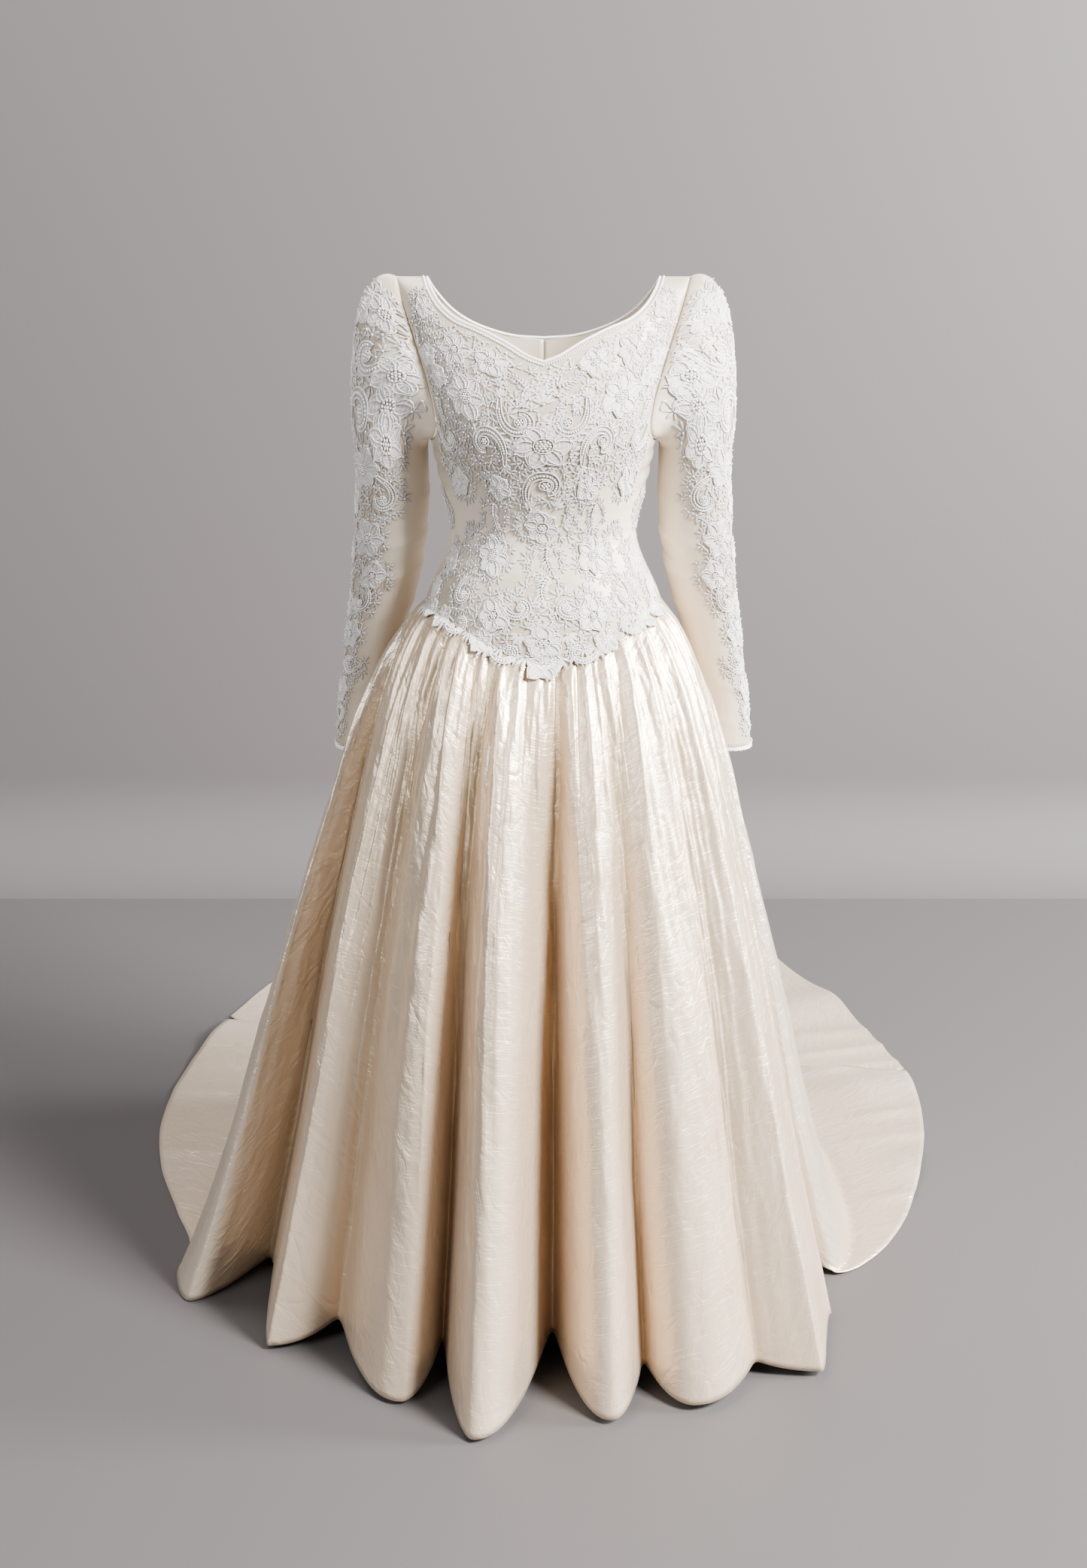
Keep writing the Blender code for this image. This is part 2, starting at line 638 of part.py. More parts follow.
def shrink(outline, amount):
    """Move an outline in by an even small amount."""
    points = np.array(outline)
    before, after = np.roll(points, 1, axis=0), np.roll(points, -1, axis=0)
    along = after - before
    along /= np.hypot(along[:, 0], along[:, 1])[:, None]
    inward = np.stack((-along[:, 1], along[:, 0]), axis=1)
    return [tuple(place) for place in points + inward * amount]


def front_outline():
    """Return the flat outline of the bodice front, counter-clockwise."""
    neck = edge_line(FRONT_NECKLINE, False, 20)
    arm = edge_line(FRONT_ARMHOLE, False, 16)
    side = side_line(seam_height(90.0), FRONT_ARMHOLE[-1].height, 90.0, 10)
    right = side + arm[::-1] + neck[::-1]
    left = [(-x, y) for x, y in reversed(right)]
    return drop_repeats(waist_line(-90.0, 90.0, 48) + right + left)


def back_outline():
    """Return the flat outline of the right bodice back, counter-clockwise."""
    neck = edge_line(BACK_NECKLINE, True, 14)
    arm = edge_line(BACK_ARMHOLE, True, 16)
    side = side_line(seam_height(90.0), BACK_ARMHOLE[-1].height, 90.0, 10)
    centre = side_line(seam_height(180.0), BACK_NECKLINE[0].height, 180.0, 14)
    return drop_repeats(waist_line(90.0, 180.0, 22) + centre + neck + arm + side[::-1])


def flatten_front(side, height):
    """Return the flat place of a motif on the front."""
    turn = turn_of(side, height, False)
    return to_plane(math.copysign(turn, side), quick_rise(height))


def body_point(place, lift):
    """Return the point of a flat place, moved out of the body by a lift."""
    turn, rise = place[0] / TURN_LENGTH, place[1]
    return body_surface(turn, rise) + body_normal(turn, rise) * lift


def make_bodice_front(material):
    """Make the front panel, with its lace raised in the outer face."""
    outline = shrink(front_outline(), SEAM_GAP * 0.5)
    spread = spread_motifs(BODICE_LACE, flatten_front)
    plain = grid_places(outline, PANEL_GRID)
    places = keep_apart(outline, motif_places(spread), plain)
    border = {place for place in outline}

    def outer_point(place):
        lift = 0.0 if place in border else lace_rise(spread, place)
        return body_point(place, lift)

    def inner_point(place):
        return body_point(place, -BODICE_WALL)

    wall_from_outline("bodice_front", outline, places, grid_places(outline, PLAIN_FRONT_GRID), outer_point,
                      inner_point, material)


def make_bodice_back(name, hand, material):
    """Make one plain back panel."""
    outline = shrink(back_outline(), SEAM_GAP * 0.5)

    def outer_point(place):
        point = body_point(place, 0.0)
        return Vector((point.x * hand, point.y, point.z))

    def inner_point(place):
        point = body_point(place, -BODICE_WALL)
        return Vector((point.x * hand, point.y, point.z))

    places = grid_places(outline, PLAIN_BACK_GRID)
    item = wall_from_outline(name, outline, places, places, outer_point, inner_point, material)
    if hand < 0:
        item.data.flip_normals()


# Skirt and train

def fold_hem(turn):
    """Return the hem point of a front column."""
    rows = FRONT_FOLDS
    index = max(i for i, row in enumerate(rows[:-1]) if row.turn <= turn + 1e-9)
    lower, upper = rows[index], rows[index + 1]
    share = min(max((turn - lower.turn) / (upper.turn - lower.turn), 0.0), 1.0)
    swing = 0.5 - 0.5 * math.cos(math.pi * share)
    across = share + FOLD_FULLNESS * math.sin(math.pi * share) * (lower.crest - upper.crest)
    return Vector((lower.hem_x + (upper.hem_x - lower.hem_x) * across,
                   lower.hem_y + (upper.hem_y - lower.hem_y) * swing,
                   lower.hem_height + (upper.hem_height - lower.hem_height) * swing))


def base_hem(turn):
    """Return the hem point that a column would have with no folds."""
    angle = math.radians(turn)
    return Vector((BASE_HALF_WIDTH * math.sin(angle), -BASE_FORWARD * math.cos(angle), 0.0))


def seam_point(turn):
    """Return the skirt's point just below the waist seam."""
    point = body_surface(turn, quick_rise(seam_height(turn) - SEAM_GAP))
    return Vector((point.x, point.y, point.z + SHOULDER_HEIGHT))


def train_hem(rows, turn):
    """Return hem point, landing share and sweep of a train column."""
    keys = [row.turn for row in rows]
    x, y, land, sweep, height = (smooth_read(keys, [getattr(row, field) for row in rows], turn)
                                 for field in ("hem_x", "hem_y", "land", "sweep", "hem_height"))
    return Vector((x, y, max(height, 0.0))), min(land, 1.0), min(max(sweep, 0.0), 1.0)


def ripple_height(x, y):
    """Return how far the lying cloth is raised at a place."""
    height = 0.0
    for row in RIPPLES:
        span = np.array((row.end_x - row.start_x, row.end_y - row.start_y))
        away = np.array((x - row.start_x, y - row.start_y))
        share = float(away @ span) / float(span @ span)
        across = abs(float(away[0] * span[1] - away[1] * span[0])) / math.hypot(*span)
        along = math.exp(-((share - 0.55) / 0.42) ** 4)
        height += row.rise * along * math.exp(-(across / row.width) ** 2)
    return height


def fall_height(share, sweep):
    """Return the share of the drop left at a share of the way out."""
    keys = [row.out for row in FALL_ROWS]
    hanging = smooth_read(keys, [row.hanging for row in FALL_ROWS], share)
    swept = smooth_read(keys, [row.swept for row in FALL_ROWS], share)
    return hanging + (swept - hanging) * sweep


def gather_wave(turn, height_left):
    """Return how far the small gathers stand out below the waist seam."""
    fallen = 1.0 - height_left
    fade = min(fallen / 0.03, 1.0) * math.exp(-max(fallen - 0.03, 0.0) / 0.22)
    past_side = max(abs(turn) - SKIRT_SIDE_TURN, 0.0)
    phase = min(abs(turn), SKIRT_SIDE_TURN) / GATHER_TURN + past_side / BACK_GATHER_TURN
    return GATHER_DEPTH * fade * math.cos(2.0 * math.pi * phase)


def back_fold(turn, share):
    """Return how far the soft back folds push out."""
    push = 0.0
    for row in BACK_FOLDS:
        away = (turn - row.turn + 180.0) % 360.0 - 180.0
        push += row.depth * math.exp(-(away / row.width) ** 2)
    return push * 1.3 * math.sin(math.pi * share) ** 2


def front_path(turn, share):
    """Return a point of a front column at a share of the way out."""
    start, base, hem = seam_point(turn), base_hem(turn), fold_hem(turn)
    left = fall_height(share, 0.0)
    grow = (1.0 - left) ** 0.85
    out = (base - start) * share + (hem - base) * grow
    radial = Vector((start.x, start.y, 0.0)).normalized()
    spot = start + out + radial * gather_wave(turn, left)
    return Vector((spot.x, spot.y, hem.z + (start.z - hem.z) * left))


def train_path(rows, hand, turn, share):
    """Return a point of a train column at a share of the way out; turn runs 80 to 180."""
    start = seam_point(turn)
    hem, land, sweep = train_hem(rows, turn)
    fallen = min(share / land, 1.0)
    left = fall_height(fallen, sweep)
    way = Vector((hem.x - start.x, hem.y - start.y, 0.0))
    radial = Vector((start.x, start.y, 0.0)).normalized()
    push = gather_wave(turn, left) + back_fold(turn * hand, fallen) * min((turn - 80.0) / 30.0, 1.0)
    spot = start + way * share + radial * push
    lying = min(max((share - land * RIPPLE_START) / RIPPLE_FADE, 0.0), 1.0) ** 2
    x = spot.x if turn < 180.0 else 0.0
    height = hem.z + (start.z - hem.z) * left + lying * ripple_height(x * hand, spot.y)
    return Vector((x, spot.y, height))


def skirt_path(turn, share):
    """Return a point of the skirt or train at any turn, from -180 to 180."""
    if abs(turn) <= SKIRT_SIDE_TURN:
        return front_path(turn, share)
    if abs(turn) > 180.0:
        turn -= math.copysign(360.0, turn)
    rows, hand = (RIGHT_TRAIN, 1.0) if turn > 0 else (LEFT_TRAIN, -1.0)
    point = train_path(rows, hand, abs(turn), share)
    return Vector((point.x * hand, point.y, point.z))


def piecing_share(turn):
    """Return the share of the way out at which a column meets the train's piecing seam."""
    (left_x, left_y), (right_x, right_y) = piecing_ends()
    for index in range(1, 401):
        spot = skirt_path(turn, index / 400)
        before = skirt_path(turn, (index - 1) / 400)
        over = spot.y - left_y - (right_y - left_y) * (spot.x - left_x) / (right_x - left_x)
        under = before.y - left_y - (right_y - left_y) * (before.x - left_x) / (right_x - left_x)
        if over > 0.0:
            return (index - over / (over - under)) / 400
    return 1.0


def even_column(path, last_share):
    """Return shares of a column at the row fractions of its own length."""
    shares = np.linspace(0.0, last_share, 60)
    points = np.array([path(share) for share in shares])
    lengths = np.concatenate(([0.0], np.cumsum(np.linalg.norm(np.diff(points, axis=0), axis=1))))
    return np.interp(np.array(ROW_FRACTIONS) * lengths[-1], lengths, shares)


def wall_from_columns(name, columns, thickness, material):
    """Make a wall from columns that run down; the first and last only steer its direction."""
    outer = np.array([[tuple(point) for point in column] for column in columns])
    outer[:, :, 2] += thickness * (1.0 - np.minimum(outer[:, :, 2] / FLOOR_REACH, 1.0)) - SHOULDER_HEIGHT
    across = np.gradient(outer, axis=0)
    down = np.gradient(outer, axis=1)
    normals = unit(np.cross(down, across))
    inner = outer - normals * thickness
    inner[:, :, 2] = np.maximum(inner[:, :, 2], -SHOULDER_HEIGHT)
    outer, inner = outer[1:-1], inner[1:-1]
    for face in (outer, inner):
        face[0] += unit(face[1] - face[0]) * SEAM_GAP * 0.5
        face[-1] += unit(face[-2] - face[-1]) * SEAM_GAP * 0.5
        face[:, 0] += unit(face[:, 1] - face[:, 0]) * SEAM_GAP * 0.5
    faces = wall_faces(*outer.shape[:2])
    add_solid(name, np.concatenate((outer.reshape(-1, 3), inner.reshape(-1, 3))), faces, material)


def wall_faces(wide, tall):
    """Return the faces of a wall: its outer grid, its inner grid and the rim."""
    half = wide * tall
    faces = []
    for column in range(wide - 1):
        for row in range(tall - 1):
            a, b = column * tall + row, (column + 1) * tall + row
            faces.append((a, a + 1, b + 1, b))
            faces.append((half + b, half + b + 1, half + a + 1, half + a))
    rim = ([(column, 0) for column in range(wide)] + [(wide - 1, row) for row in range(1, tall)]
           + [(column, tall - 1) for column in range(wide - 2, -1, -1)]
           + [(0, row) for row in range(tall - 2, 0, -1)])
    for (c1, r1), (c2, r2) in zip(rim, rim[1:] + rim[:1]):
        a, b = c1 * tall + r1, c2 * tall + r2
        faces.append((a, b, half + b, half + a))
    return faces


def unit(vectors):
    """Return vectors at a length of one."""
    return vectors / np.maximum(np.linalg.norm(vectors, axis=-1, keepdims=True), 1e-9)


def skirt_column(turn, last_share=1.0):
    """Return one column of the skirt, from the seam to a share of the way out."""
    return [skirt_path(turn, share) for share in even_column(lambda at: skirt_path(turn, at), last_share)]


def front_columns():
    """Return the columns of the skirt front, with one more on each side."""
    step = 2.0 * SKIRT_SIDE_TURN / FRONT_COLUMNS
    return [skirt_column(-SKIRT_SIDE_TURN + step * index) for index in range(-1, FRONT_COLUMNS + 2)]


def piecing_ends():
    """Return where the piecing seam meets the hem on both sides."""
    left = next(row for row in LEFT_TRAIN if row.place == "piecing")
    right = next(row for row in RIGHT_TRAIN if row.place == "piecing")
    return (-left.hem_x, left.hem_y), (right.hem_x, right.hem_y)


def train_turns(rows):
    """Return the turns of the train's columns, with one at each table row."""
    turns = [rows[0].turn, rows[0].turn + EDGE_STEP]
    for lower, upper in zip(rows, rows[1:]):
        for step in range(1, TRAIN_STEPS + 1):
            turns.append(lower.turn + (upper.turn - lower.turn) * step / TRAIN_STEPS)
    return turns


def train_columns(rows, hand):
    """Return the columns of one train half, with one more on each side, in rising turn."""
    turns = train_turns(rows)
    turns = [SKIRT_SIDE_TURN - EDGE_STEP] + turns + [180.0 + BACK_STEP]
    signed = sorted(turn * hand for turn in turns)
    return [skirt_column(turn, last_share(rows, turn)) for turn in signed]


def last_share(rows, turn):
    """Return how far out a train column runs before the piecing seam."""
    corner = next(row.turn for row in rows if row.place == "piecing")
    return piecing_share(turn) if abs(turn) > corner + 1e-6 else 1.0


def make_train_end(material):
    """Make the pieced end of the train, which lies on the floor."""
    seam, hem = [], []
    for rows, hand in ((RIGHT_TRAIN, 1.0), (LEFT_TRAIN, -1.0)):
        corner = next(row.turn for row in rows if row.place == "piecing")
        turns = [turn * hand for turn in train_turns(rows) if turn > corner - 1e-6]
        side_seam = [tuple(skirt_path(turn, last_share(rows, turn)))[:2] for turn in turns]
        side_hem = [tuple(skirt_path(turn, 1.0))[:2] for turn in turns]
        if hand > 0:
            hem, seam = side_hem, side_seam
        else:
            hem = hem + side_hem[-2::-1]
            seam = seam + side_seam[-2::-1]
    outline = drop_repeats(hem + seam[-2:0:-1])
    outline = shrink(outline, SEAM_GAP)

    def outer_point(place):
        return Vector((place[0], place[1], ripple_height(*place) + SKIRT_WALL - SHOULDER_HEIGHT))

    def inner_point(place):
        return outer_point(place) - Vector((0.0, 0.0, SKIRT_WALL))

    places = grid_places(outline, 0.075)
    wall_from_outline("train_end", outline, places, places, outer_point, inner_point, material)


def make_skirt(material):
    """Make the front of the skirt, both halves of the train and its pieced end."""
    wall_from_columns("skirt_front", front_columns(), SKIRT_WALL, material)
    wall_from_columns("train_right", train_columns(RIGHT_TRAIN, 1.0), SKIRT_WALL, material)
    wall_from_columns("train_left", train_columns(LEFT_TRAIN, -1.0), SKIRT_WALL, material)
    make_train_end(material)


# Sleeves

def armhole_loop(steps):
    """Return points round the right armhole: top, front, underarm, back."""
    front = [body_point(place, 0.0) for place in edge_line(FRONT_ARMHOLE, False, steps)]
    back = [body_point(place, 0.0) for place in edge_line(BACK_ARMHOLE, True, steps)]
    loop = front + back[-2:0:-1]
    return np.array([tuple(point) for point in loop])


ARMHOLE = armhole_loop(24)
ARMHOLE_CENTRE = ARMHOLE.mean(axis=0)


def armhole_point(around):
    """Return an armhole point; around 0 is the top, 90 the front, 180 the underarm."""
    loop = np.vstack((ARMHOLE, ARMHOLE[:1]))
    lengths = np.concatenate(([0.0], np.cumsum(np.linalg.norm(np.diff(loop, axis=0), axis=1))))
    at = (around % 360.0) / 360.0 * lengths[-1]
    return Vector([float(np.interp(at, lengths, loop[:, axis])) for axis in range(3)])


def sleeve_ring(around, height):
    """Return a point of the sleeve below the cap."""
    keys = [-row.height for row in SLEEVE_ROWS]
    out, back, wide, deep = (smooth_read(keys, [getattr(row, field) for row in SLEEVE_ROWS], -height)
                             for field in ("out", "back", "half_width", "half_depth"))
    angle = math.radians(around)
    return Vector((out + wide * math.cos(angle), back - deep * math.sin(angle), height - SHOULDER_HEIGHT))


def cap_height(around):
    """Return how high the sleeve's cap reaches above its base line."""
    top = 0.5 + 0.5 * math.cos(math.radians(around))
    return CAP_LOW + (CAP_LENGTH - CAP_LOW) * top ** 1.2


def plain_sleeve(around, level):
    """Return a sleeve point with no gathers; level is the way up from the base line of the cap."""
    if level <= 0.0:
        return sleeve_ring(around, CAP_BASE + level)
    share = 1.0 - level / cap_height(around)
    angle = math.radians(around)
    top = 0.5 + 0.5 * math.cos(angle)
    start, end = armhole_point(around), sleeve_ring(around, CAP_BASE)
    inward = (Vector(ARMHOLE_CENTRE) - start).normalized()
    outward = Vector((CAP_STAND * (1.0 - 0.8 * (1.0 - top) ** 3) + CAP_PUFF * top, 0.0, 0.0))
    first = start + outward - inward * CAP_RISE * top
    second = end + Vector((CAP_PUFF * 0.5 * top, 0.0, 0.55 * max(start.z - end.z, 0.0) + 0.002))
    return (start * (1 - share)**3 + first * 3 * share * (1 - share)**2
            + second * 3 * share**2 * (1 - share) + end * share**3)


def cap_gather(around, level):
    """Return how far the gathers of the cap stand out, never less than nothing."""
    share = 1.0 - max(level, 0.0) / cap_height(around)
    angle = math.radians(around)
    strength = (0.5 + 0.5 * math.cos(angle)) * math.sin(math.pi * min(share * 1.6, 1.0))
    return CAP_GATHER_DEPTH * strength * (1.0 + math.cos(CAP_GATHERS * angle))


def sleeve_place_point(place, lift, hand):
    """Return a sleeve's point for a flat place, moved out by a lift."""
    around, level = place[0] / SLEEVE_ROUND, place[1]
    safe = min(max(level, SLEEVE_END - CAP_BASE + 0.0015), cap_height(around) - 0.0015)
    inward = surface_normal(plain_sleeve, around, safe, 1.0, 0.001)
    point = plain_sleeve(around, level) - inward * lift
    return Vector((point.x * hand, point.y, point.z))


def flatten_sleeve(side, height):
    """Return the flat place of a motif on a sleeve."""
    x = SLEEVE_MIDLINE * SLEEVE_ROUND + side
    above = max(height - CAP_BASE, 0.0) / (CAP_TOP - CAP_BASE)
    return (x, cap_height(x / SLEEVE_ROUND) * above if above else height - CAP_BASE)


def sleeve_outline():
    """Return the flat outline of a sleeve, and which of its edges are closed by the long seam."""
    bottom = SLEEVE_END - CAP_BASE
    xs = [SLEEVE_ROUND * (360.0 * index / SLEEVE_COLUMNS - 180.0) for index in range(SLEEVE_COLUMNS + 1)]
    top = cap_height(180.0)
    ys = [bottom + (top - bottom) * index / SLEEVE_ROWS_LONG for index in range(SLEEVE_ROWS_LONG + 1)]
    crown = [(x, cap_height(x / SLEEVE_ROUND) - SEAM_GAP * 2.0) for x in xs]
    ys[-1] = crown[0][1]
    outline = ([(x, bottom) for x in xs] + [(xs[-1], y) for y in ys[1:]] + crown[-2::-1]
               + [(xs[0], y) for y in ys[-2:0:-1]])
    seam = set(range(SLEEVE_COLUMNS, SLEEVE_COLUMNS + SLEEVE_ROWS_LONG))
    seam |= set(range(len(outline) - SLEEVE_ROWS_LONG, len(outline)))
    return outline, seam


def sleeve_wall(place):
    """Return the sleeve's thickness, which is less where the cap is creased at the shoulder point."""
    around, level = place[0] / SLEEVE_ROUND, place[1]
    crease = math.exp(-(around / CREASE_TURN) ** 2) * math.exp(-((cap_height(around) - level) / CREASE_LENGTH) ** 2)
    return SLEEVE_WALL * (1.0 - CREASE_THINNING * crease)


def cap_places():
    """Return the flat places that hold the cap's shape."""
    step = 360.0 / SLEEVE_COLUMNS
    turns = [step * index - 180.0 for index in range(1, SLEEVE_COLUMNS)]
    places = [(0.0, cap_height(0.0) * share) for share in CROWN_SHARES]
    return places + [(turn * SLEEVE_ROUND, cap_height(turn) * share) for turn in turns for share in CAP_SHARES]


def make_sleeve(name, hand, material):
    """Make one sleeve, a closed tube with its lace raised in the outer face."""
    outline, seam = sleeve_outline()
    spread = spread_motifs(SLEEVE_LACE, flatten_sleeve)
    cap = cap_places()
    places = keep_apart(outline, cap + motif_places(spread), grid_places(outline, PANEL_GRID))
    plain = keep_apart(outline, cap, grid_places(outline, PLAIN_SLEEVE_GRID))
    border = set(outline)

    def outer_point(place):
        if place in border:
            return sleeve_place_point(place, 0.0, hand)
        lift = max(lace_rise(spread, place), cap_gather(place[0] / SLEEVE_ROUND, place[1]))
        return sleeve_place_point(place, lift, hand)

    def inner_point(place):
        return sleeve_place_point(place, -sleeve_wall(place), hand)

    item = wall_from_outline(name, outline, places, plain, outer_point, inner_point, material, seam)
    if hand > 0:
        item.data.flip_normals()


# Bindings, lace edge and buttons

def ring_solid(name, frames, material):
    """Make a closed ring from frames of four corners each."""
    points = [corner for frame in frames for corner in frame]
    faces = []
    count = len(frames)
    for index in range(count):
        after = (index + 1) % count
        for side in range(4):
            nxt = (side + 1) % 4
            faces.append((index * 4 + side, index * 4 + nxt, after * 4 + nxt, after * 4 + side))
    item = add_solid(name, points, faces, material)
    work = bmesh.new()
    work.from_mesh(item.data)
    bmesh.ops.recalc_face_normals(work, faces=work.faces)
    work.to_mesh(item.data)
    work.free()
    return item


def make_neck_binding(material):
    """Make the narrow binding that caps the neckline all the way round."""
    right = edge_line(FRONT_NECKLINE, False, 16)
    back = edge_line(BACK_NECKLINE, True, 12)
    half = right + back[-2::-1]
    turns = [(x / TURN_LENGTH, y) for x, y in half]
    loop = turns + [(-turn, rise) for turn, rise in reversed(turns[1:-1])]
    middles = [body_surface(turn, rise) - body_normal(turn, rise) * BODICE_WALL * 0.5
               for turn, rise in loop]
    frames = []
    for index, (turn, rise) in enumerate(loop):
        before, after = middles[index - 1], middles[(index + 1) % len(loop)]
        along = (after - before).normalized()
        normal = body_normal(turn, rise)
        away = normal.cross(along).normalized()
        if away.z + 0.2 * away.dot(-middles[index]) < 0.0:
            away = -away
        normal = along.cross(away).normalized()
        near = middles[index] + away * SEAM_GAP * 1.6
        far = middles[index] + away * (SEAM_GAP + BINDING_WIDTH)
        side = normal * BINDING_THICKNESS * 0.5
        frames.append((near + side, far + side, far - side, near - side))
    ring_solid("neck_binding", frames, material)


def make_cuff_binding(name, hand, material):
    """Make the narrow binding at the lower edge of a sleeve."""
    frames = []
    for index in range(SLEEVE_COLUMNS):
        around = 360.0 * index / SLEEVE_COLUMNS - 180.0
        edge = sleeve_ring(around, SLEEVE_END)
        centre = edge + sleeve_ring(around + 180.0, SLEEVE_END)
        outward = (edge - centre * 0.5).normalized()
        middle = edge - outward * SLEEVE_WALL * 0.5
        side = outward * BINDING_THICKNESS * 0.5
        near = middle - Vector((0.0, 0.0, SEAM_GAP))
        far = middle - Vector((0.0, 0.0, SEAM_GAP + BINDING_WIDTH))
        corners = (near + side, far + side, far - side, near - side)
        frames.append(tuple(Vector((corner.x * hand, corner.y, corner.z)) for corner in corners))
    ring_solid(name, frames, material)


def skirt_crest(turn, drop):
    """Return a point on the crests of the front gathers, a drop below the seam, moved out."""
    start, base, hem = seam_point(turn), base_hem(turn), fold_hem(turn)
    shares = np.linspace(0.0, 0.25, 40)
    drops = []
    for share in shares:
        left = fall_height(share, 0.0)
        drops.append((start.z - hem.z) * (1.0 - left))
    share = float(np.interp(drop, drops, shares))
    left = fall_height(share, 0.0)
    radial = Vector((base.x, base.y, 0.0)).normalized()
    out = (base - start) * share + (hem - base) * (1.0 - left) ** 0.85
    spot = start + out + radial * abs(gather_wave(0.0, left))
    height = hem.z + (start.z - hem.z) * left - SHOULDER_HEIGHT
    return Vector((spot.x, spot.y, height))


def make_lace_edge(material):
    """Make the free leafy edge of the lace, which hangs from the seam over the gathers."""
    count = LEAF_COUNT * 2
    rows = (0.0015, 1.0)
    clear = SEAM_GAP + 0.0009
    outer, inner = [], []
    for index in range(count + 1):
        turn = -LACE_EDGE_REACH + 2.0 * LACE_EDGE_REACH * index / count
        swell = 0.5 + 0.5 * math.cos(math.radians(turn * 12.0))
        long = LEAF_SHORT + (LEAF_LONG - LEAF_SHORT) * (0.35 + 0.65 * swell)
        drop_end = long if index % 2 else LEAF_SHORT * 0.85
        normal = Vector((math.sin(math.radians(turn)), -math.cos(math.radians(turn)), 0.55)).normalized()
        for share in rows:
            drop = share if share < 0.01 else share * drop_end
            crest = skirt_crest(turn, drop)
            inner.append(crest + normal * clear)
            outer.append(crest + normal * (clear + LACE_EDGE_WALL))
    add_solid("lace_edge", outer + inner, wall_faces(count + 1, len(rows)), material)


def make_buttons(material):
    """Make the covered buttons down the centre back."""
    for index, lift in enumerate(BUTTON_SEATS):
        rise = quick_rise(BUTTON_TOP - index * BUTTON_SPACING)
        normal = body_normal(180.0, rise)
        seat = body_surface(180.0, rise) + normal * lift
        mesh = bpy.data.meshes.new(f"button_{index + 1}")
        work = bmesh.new()
        bmesh.ops.create_uvsphere(work, u_segments=8, v_segments=3, radius=BUTTON_RADIUS)
        bmesh.ops.scale(work, verts=work.verts, vec=(1.0, 1.0, BUTTON_HEIGHT / (2.0 * BUTTON_RADIUS)))
        bmesh.ops.translate(work, verts=work.verts, vec=(0.0, 0.0, BUTTON_HEIGHT * 0.5))
        bmesh.ops.triangulate(work, faces=work.faces)
        turned = normal.to_track_quat("Z", "Y").to_matrix()
        bmesh.ops.rotate(work, verts=work.verts, cent=(0.0, 0.0, 0.0), matrix=turned)
        bmesh.ops.translate(work, verts=work.verts, vec=seat)
        work.to_mesh(mesh)
        work.free()
        mesh.materials.append(material)
        mesh.shade_smooth()
        item = bpy.data.objects.new(f"button_{index + 1}", mesh)
        bpy.context.scene.collection.objects.link(item)


def main():
    """Build the dress piece by piece."""
    clear_scene()
    make_bodice_front(finish_material("front_lace_on_satin", WHITE_LACE, 0.55))
    make_bodice_back("bodice_back_right", 1.0, finish_material("back_satin_right", CREAM_SATIN, 0.42))
    make_bodice_back("bodice_back_left", -1.0, finish_material("back_satin_left", CREAM_SATIN, 0.42))
    make_sleeve("sleeve_right", 1.0, finish_material("sleeve_lace_right", WHITE_LACE, 0.55))
    make_sleeve("sleeve_left", -1.0, finish_material("sleeve_lace_left", WHITE_LACE, 0.55))
    make_cuff_binding("cuff_binding_right", 1.0, finish_material("cuff_pearl_right", PEARL, 0.35))
    make_cuff_binding("cuff_binding_left", -1.0, finish_material("cuff_pearl_left", PEARL, 0.35))
    make_neck_binding(finish_material("neck_pearl", PEARL, 0.35))
    make_lace_edge(finish_material("edge_lace", WHITE_LACE, 0.6))
    make_skirt(finish_material("skirt_satin", IVORY_SATIN, 0.38))
    make_buttons(finish_material("button_satin", IVORY_SATIN, 0.4))


main()
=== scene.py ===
"""Looks of a long-sleeved satin wedding dress with corded, beaded lace and a train.

Metres, +Z up. The origin is on the shoulder line and the front faces -Y. Heights in the tables
are measured from the floor under the train, as in the part itself.
"""

from __future__ import annotations

import logging
import math
import random
from dataclasses import dataclass, field
from enum import Enum
from typing import Callable, NamedTuple, Sequence

import bpy
import numpy as np
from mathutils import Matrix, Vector


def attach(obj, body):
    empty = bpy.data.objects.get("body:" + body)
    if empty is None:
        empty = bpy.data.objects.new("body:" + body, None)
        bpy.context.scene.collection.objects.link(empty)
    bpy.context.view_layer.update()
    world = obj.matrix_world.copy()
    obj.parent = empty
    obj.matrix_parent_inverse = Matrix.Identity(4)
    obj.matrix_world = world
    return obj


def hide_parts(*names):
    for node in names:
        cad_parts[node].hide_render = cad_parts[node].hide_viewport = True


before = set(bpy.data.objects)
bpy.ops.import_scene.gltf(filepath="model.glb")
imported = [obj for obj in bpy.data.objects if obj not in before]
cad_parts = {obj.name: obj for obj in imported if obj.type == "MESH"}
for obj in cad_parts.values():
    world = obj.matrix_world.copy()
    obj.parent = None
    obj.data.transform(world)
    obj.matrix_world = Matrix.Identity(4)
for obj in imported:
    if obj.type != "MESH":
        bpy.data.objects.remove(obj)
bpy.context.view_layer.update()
LOG = logging.getLogger("wedding_dress")

SHOULDER_HEIGHT = 1.41
SEAM_GAP = 0.0003
SQUARENESS = 0.88
TURN_LENGTH = 0.0027
SKIRT_SIDE_TURN = 80.0
LACE_FREE_TURN = 78.0


class BodyRow(NamedTuple):
    """One section of the bodice."""

    height: float
    half_width: float
    front: float
    back: float


class EdgeRow(NamedTuple):
    """A point of a panel's edge: distance from the centre line and height."""

    side: float
    height: float


class FoldRow(NamedTuple):
    """A crest or valley of the skirt's front, with its hem point."""

    turn: float
    crest: int
    hem_x: float
    hem_y: float
    hem_height: float


class TrainRow(NamedTuple):
    """A line of the train: hem point, where the cloth lands and how far it sweeps."""

    turn: float
    hem_x: float
    hem_y: float
    land: float
    sweep: float
    hem_height: float


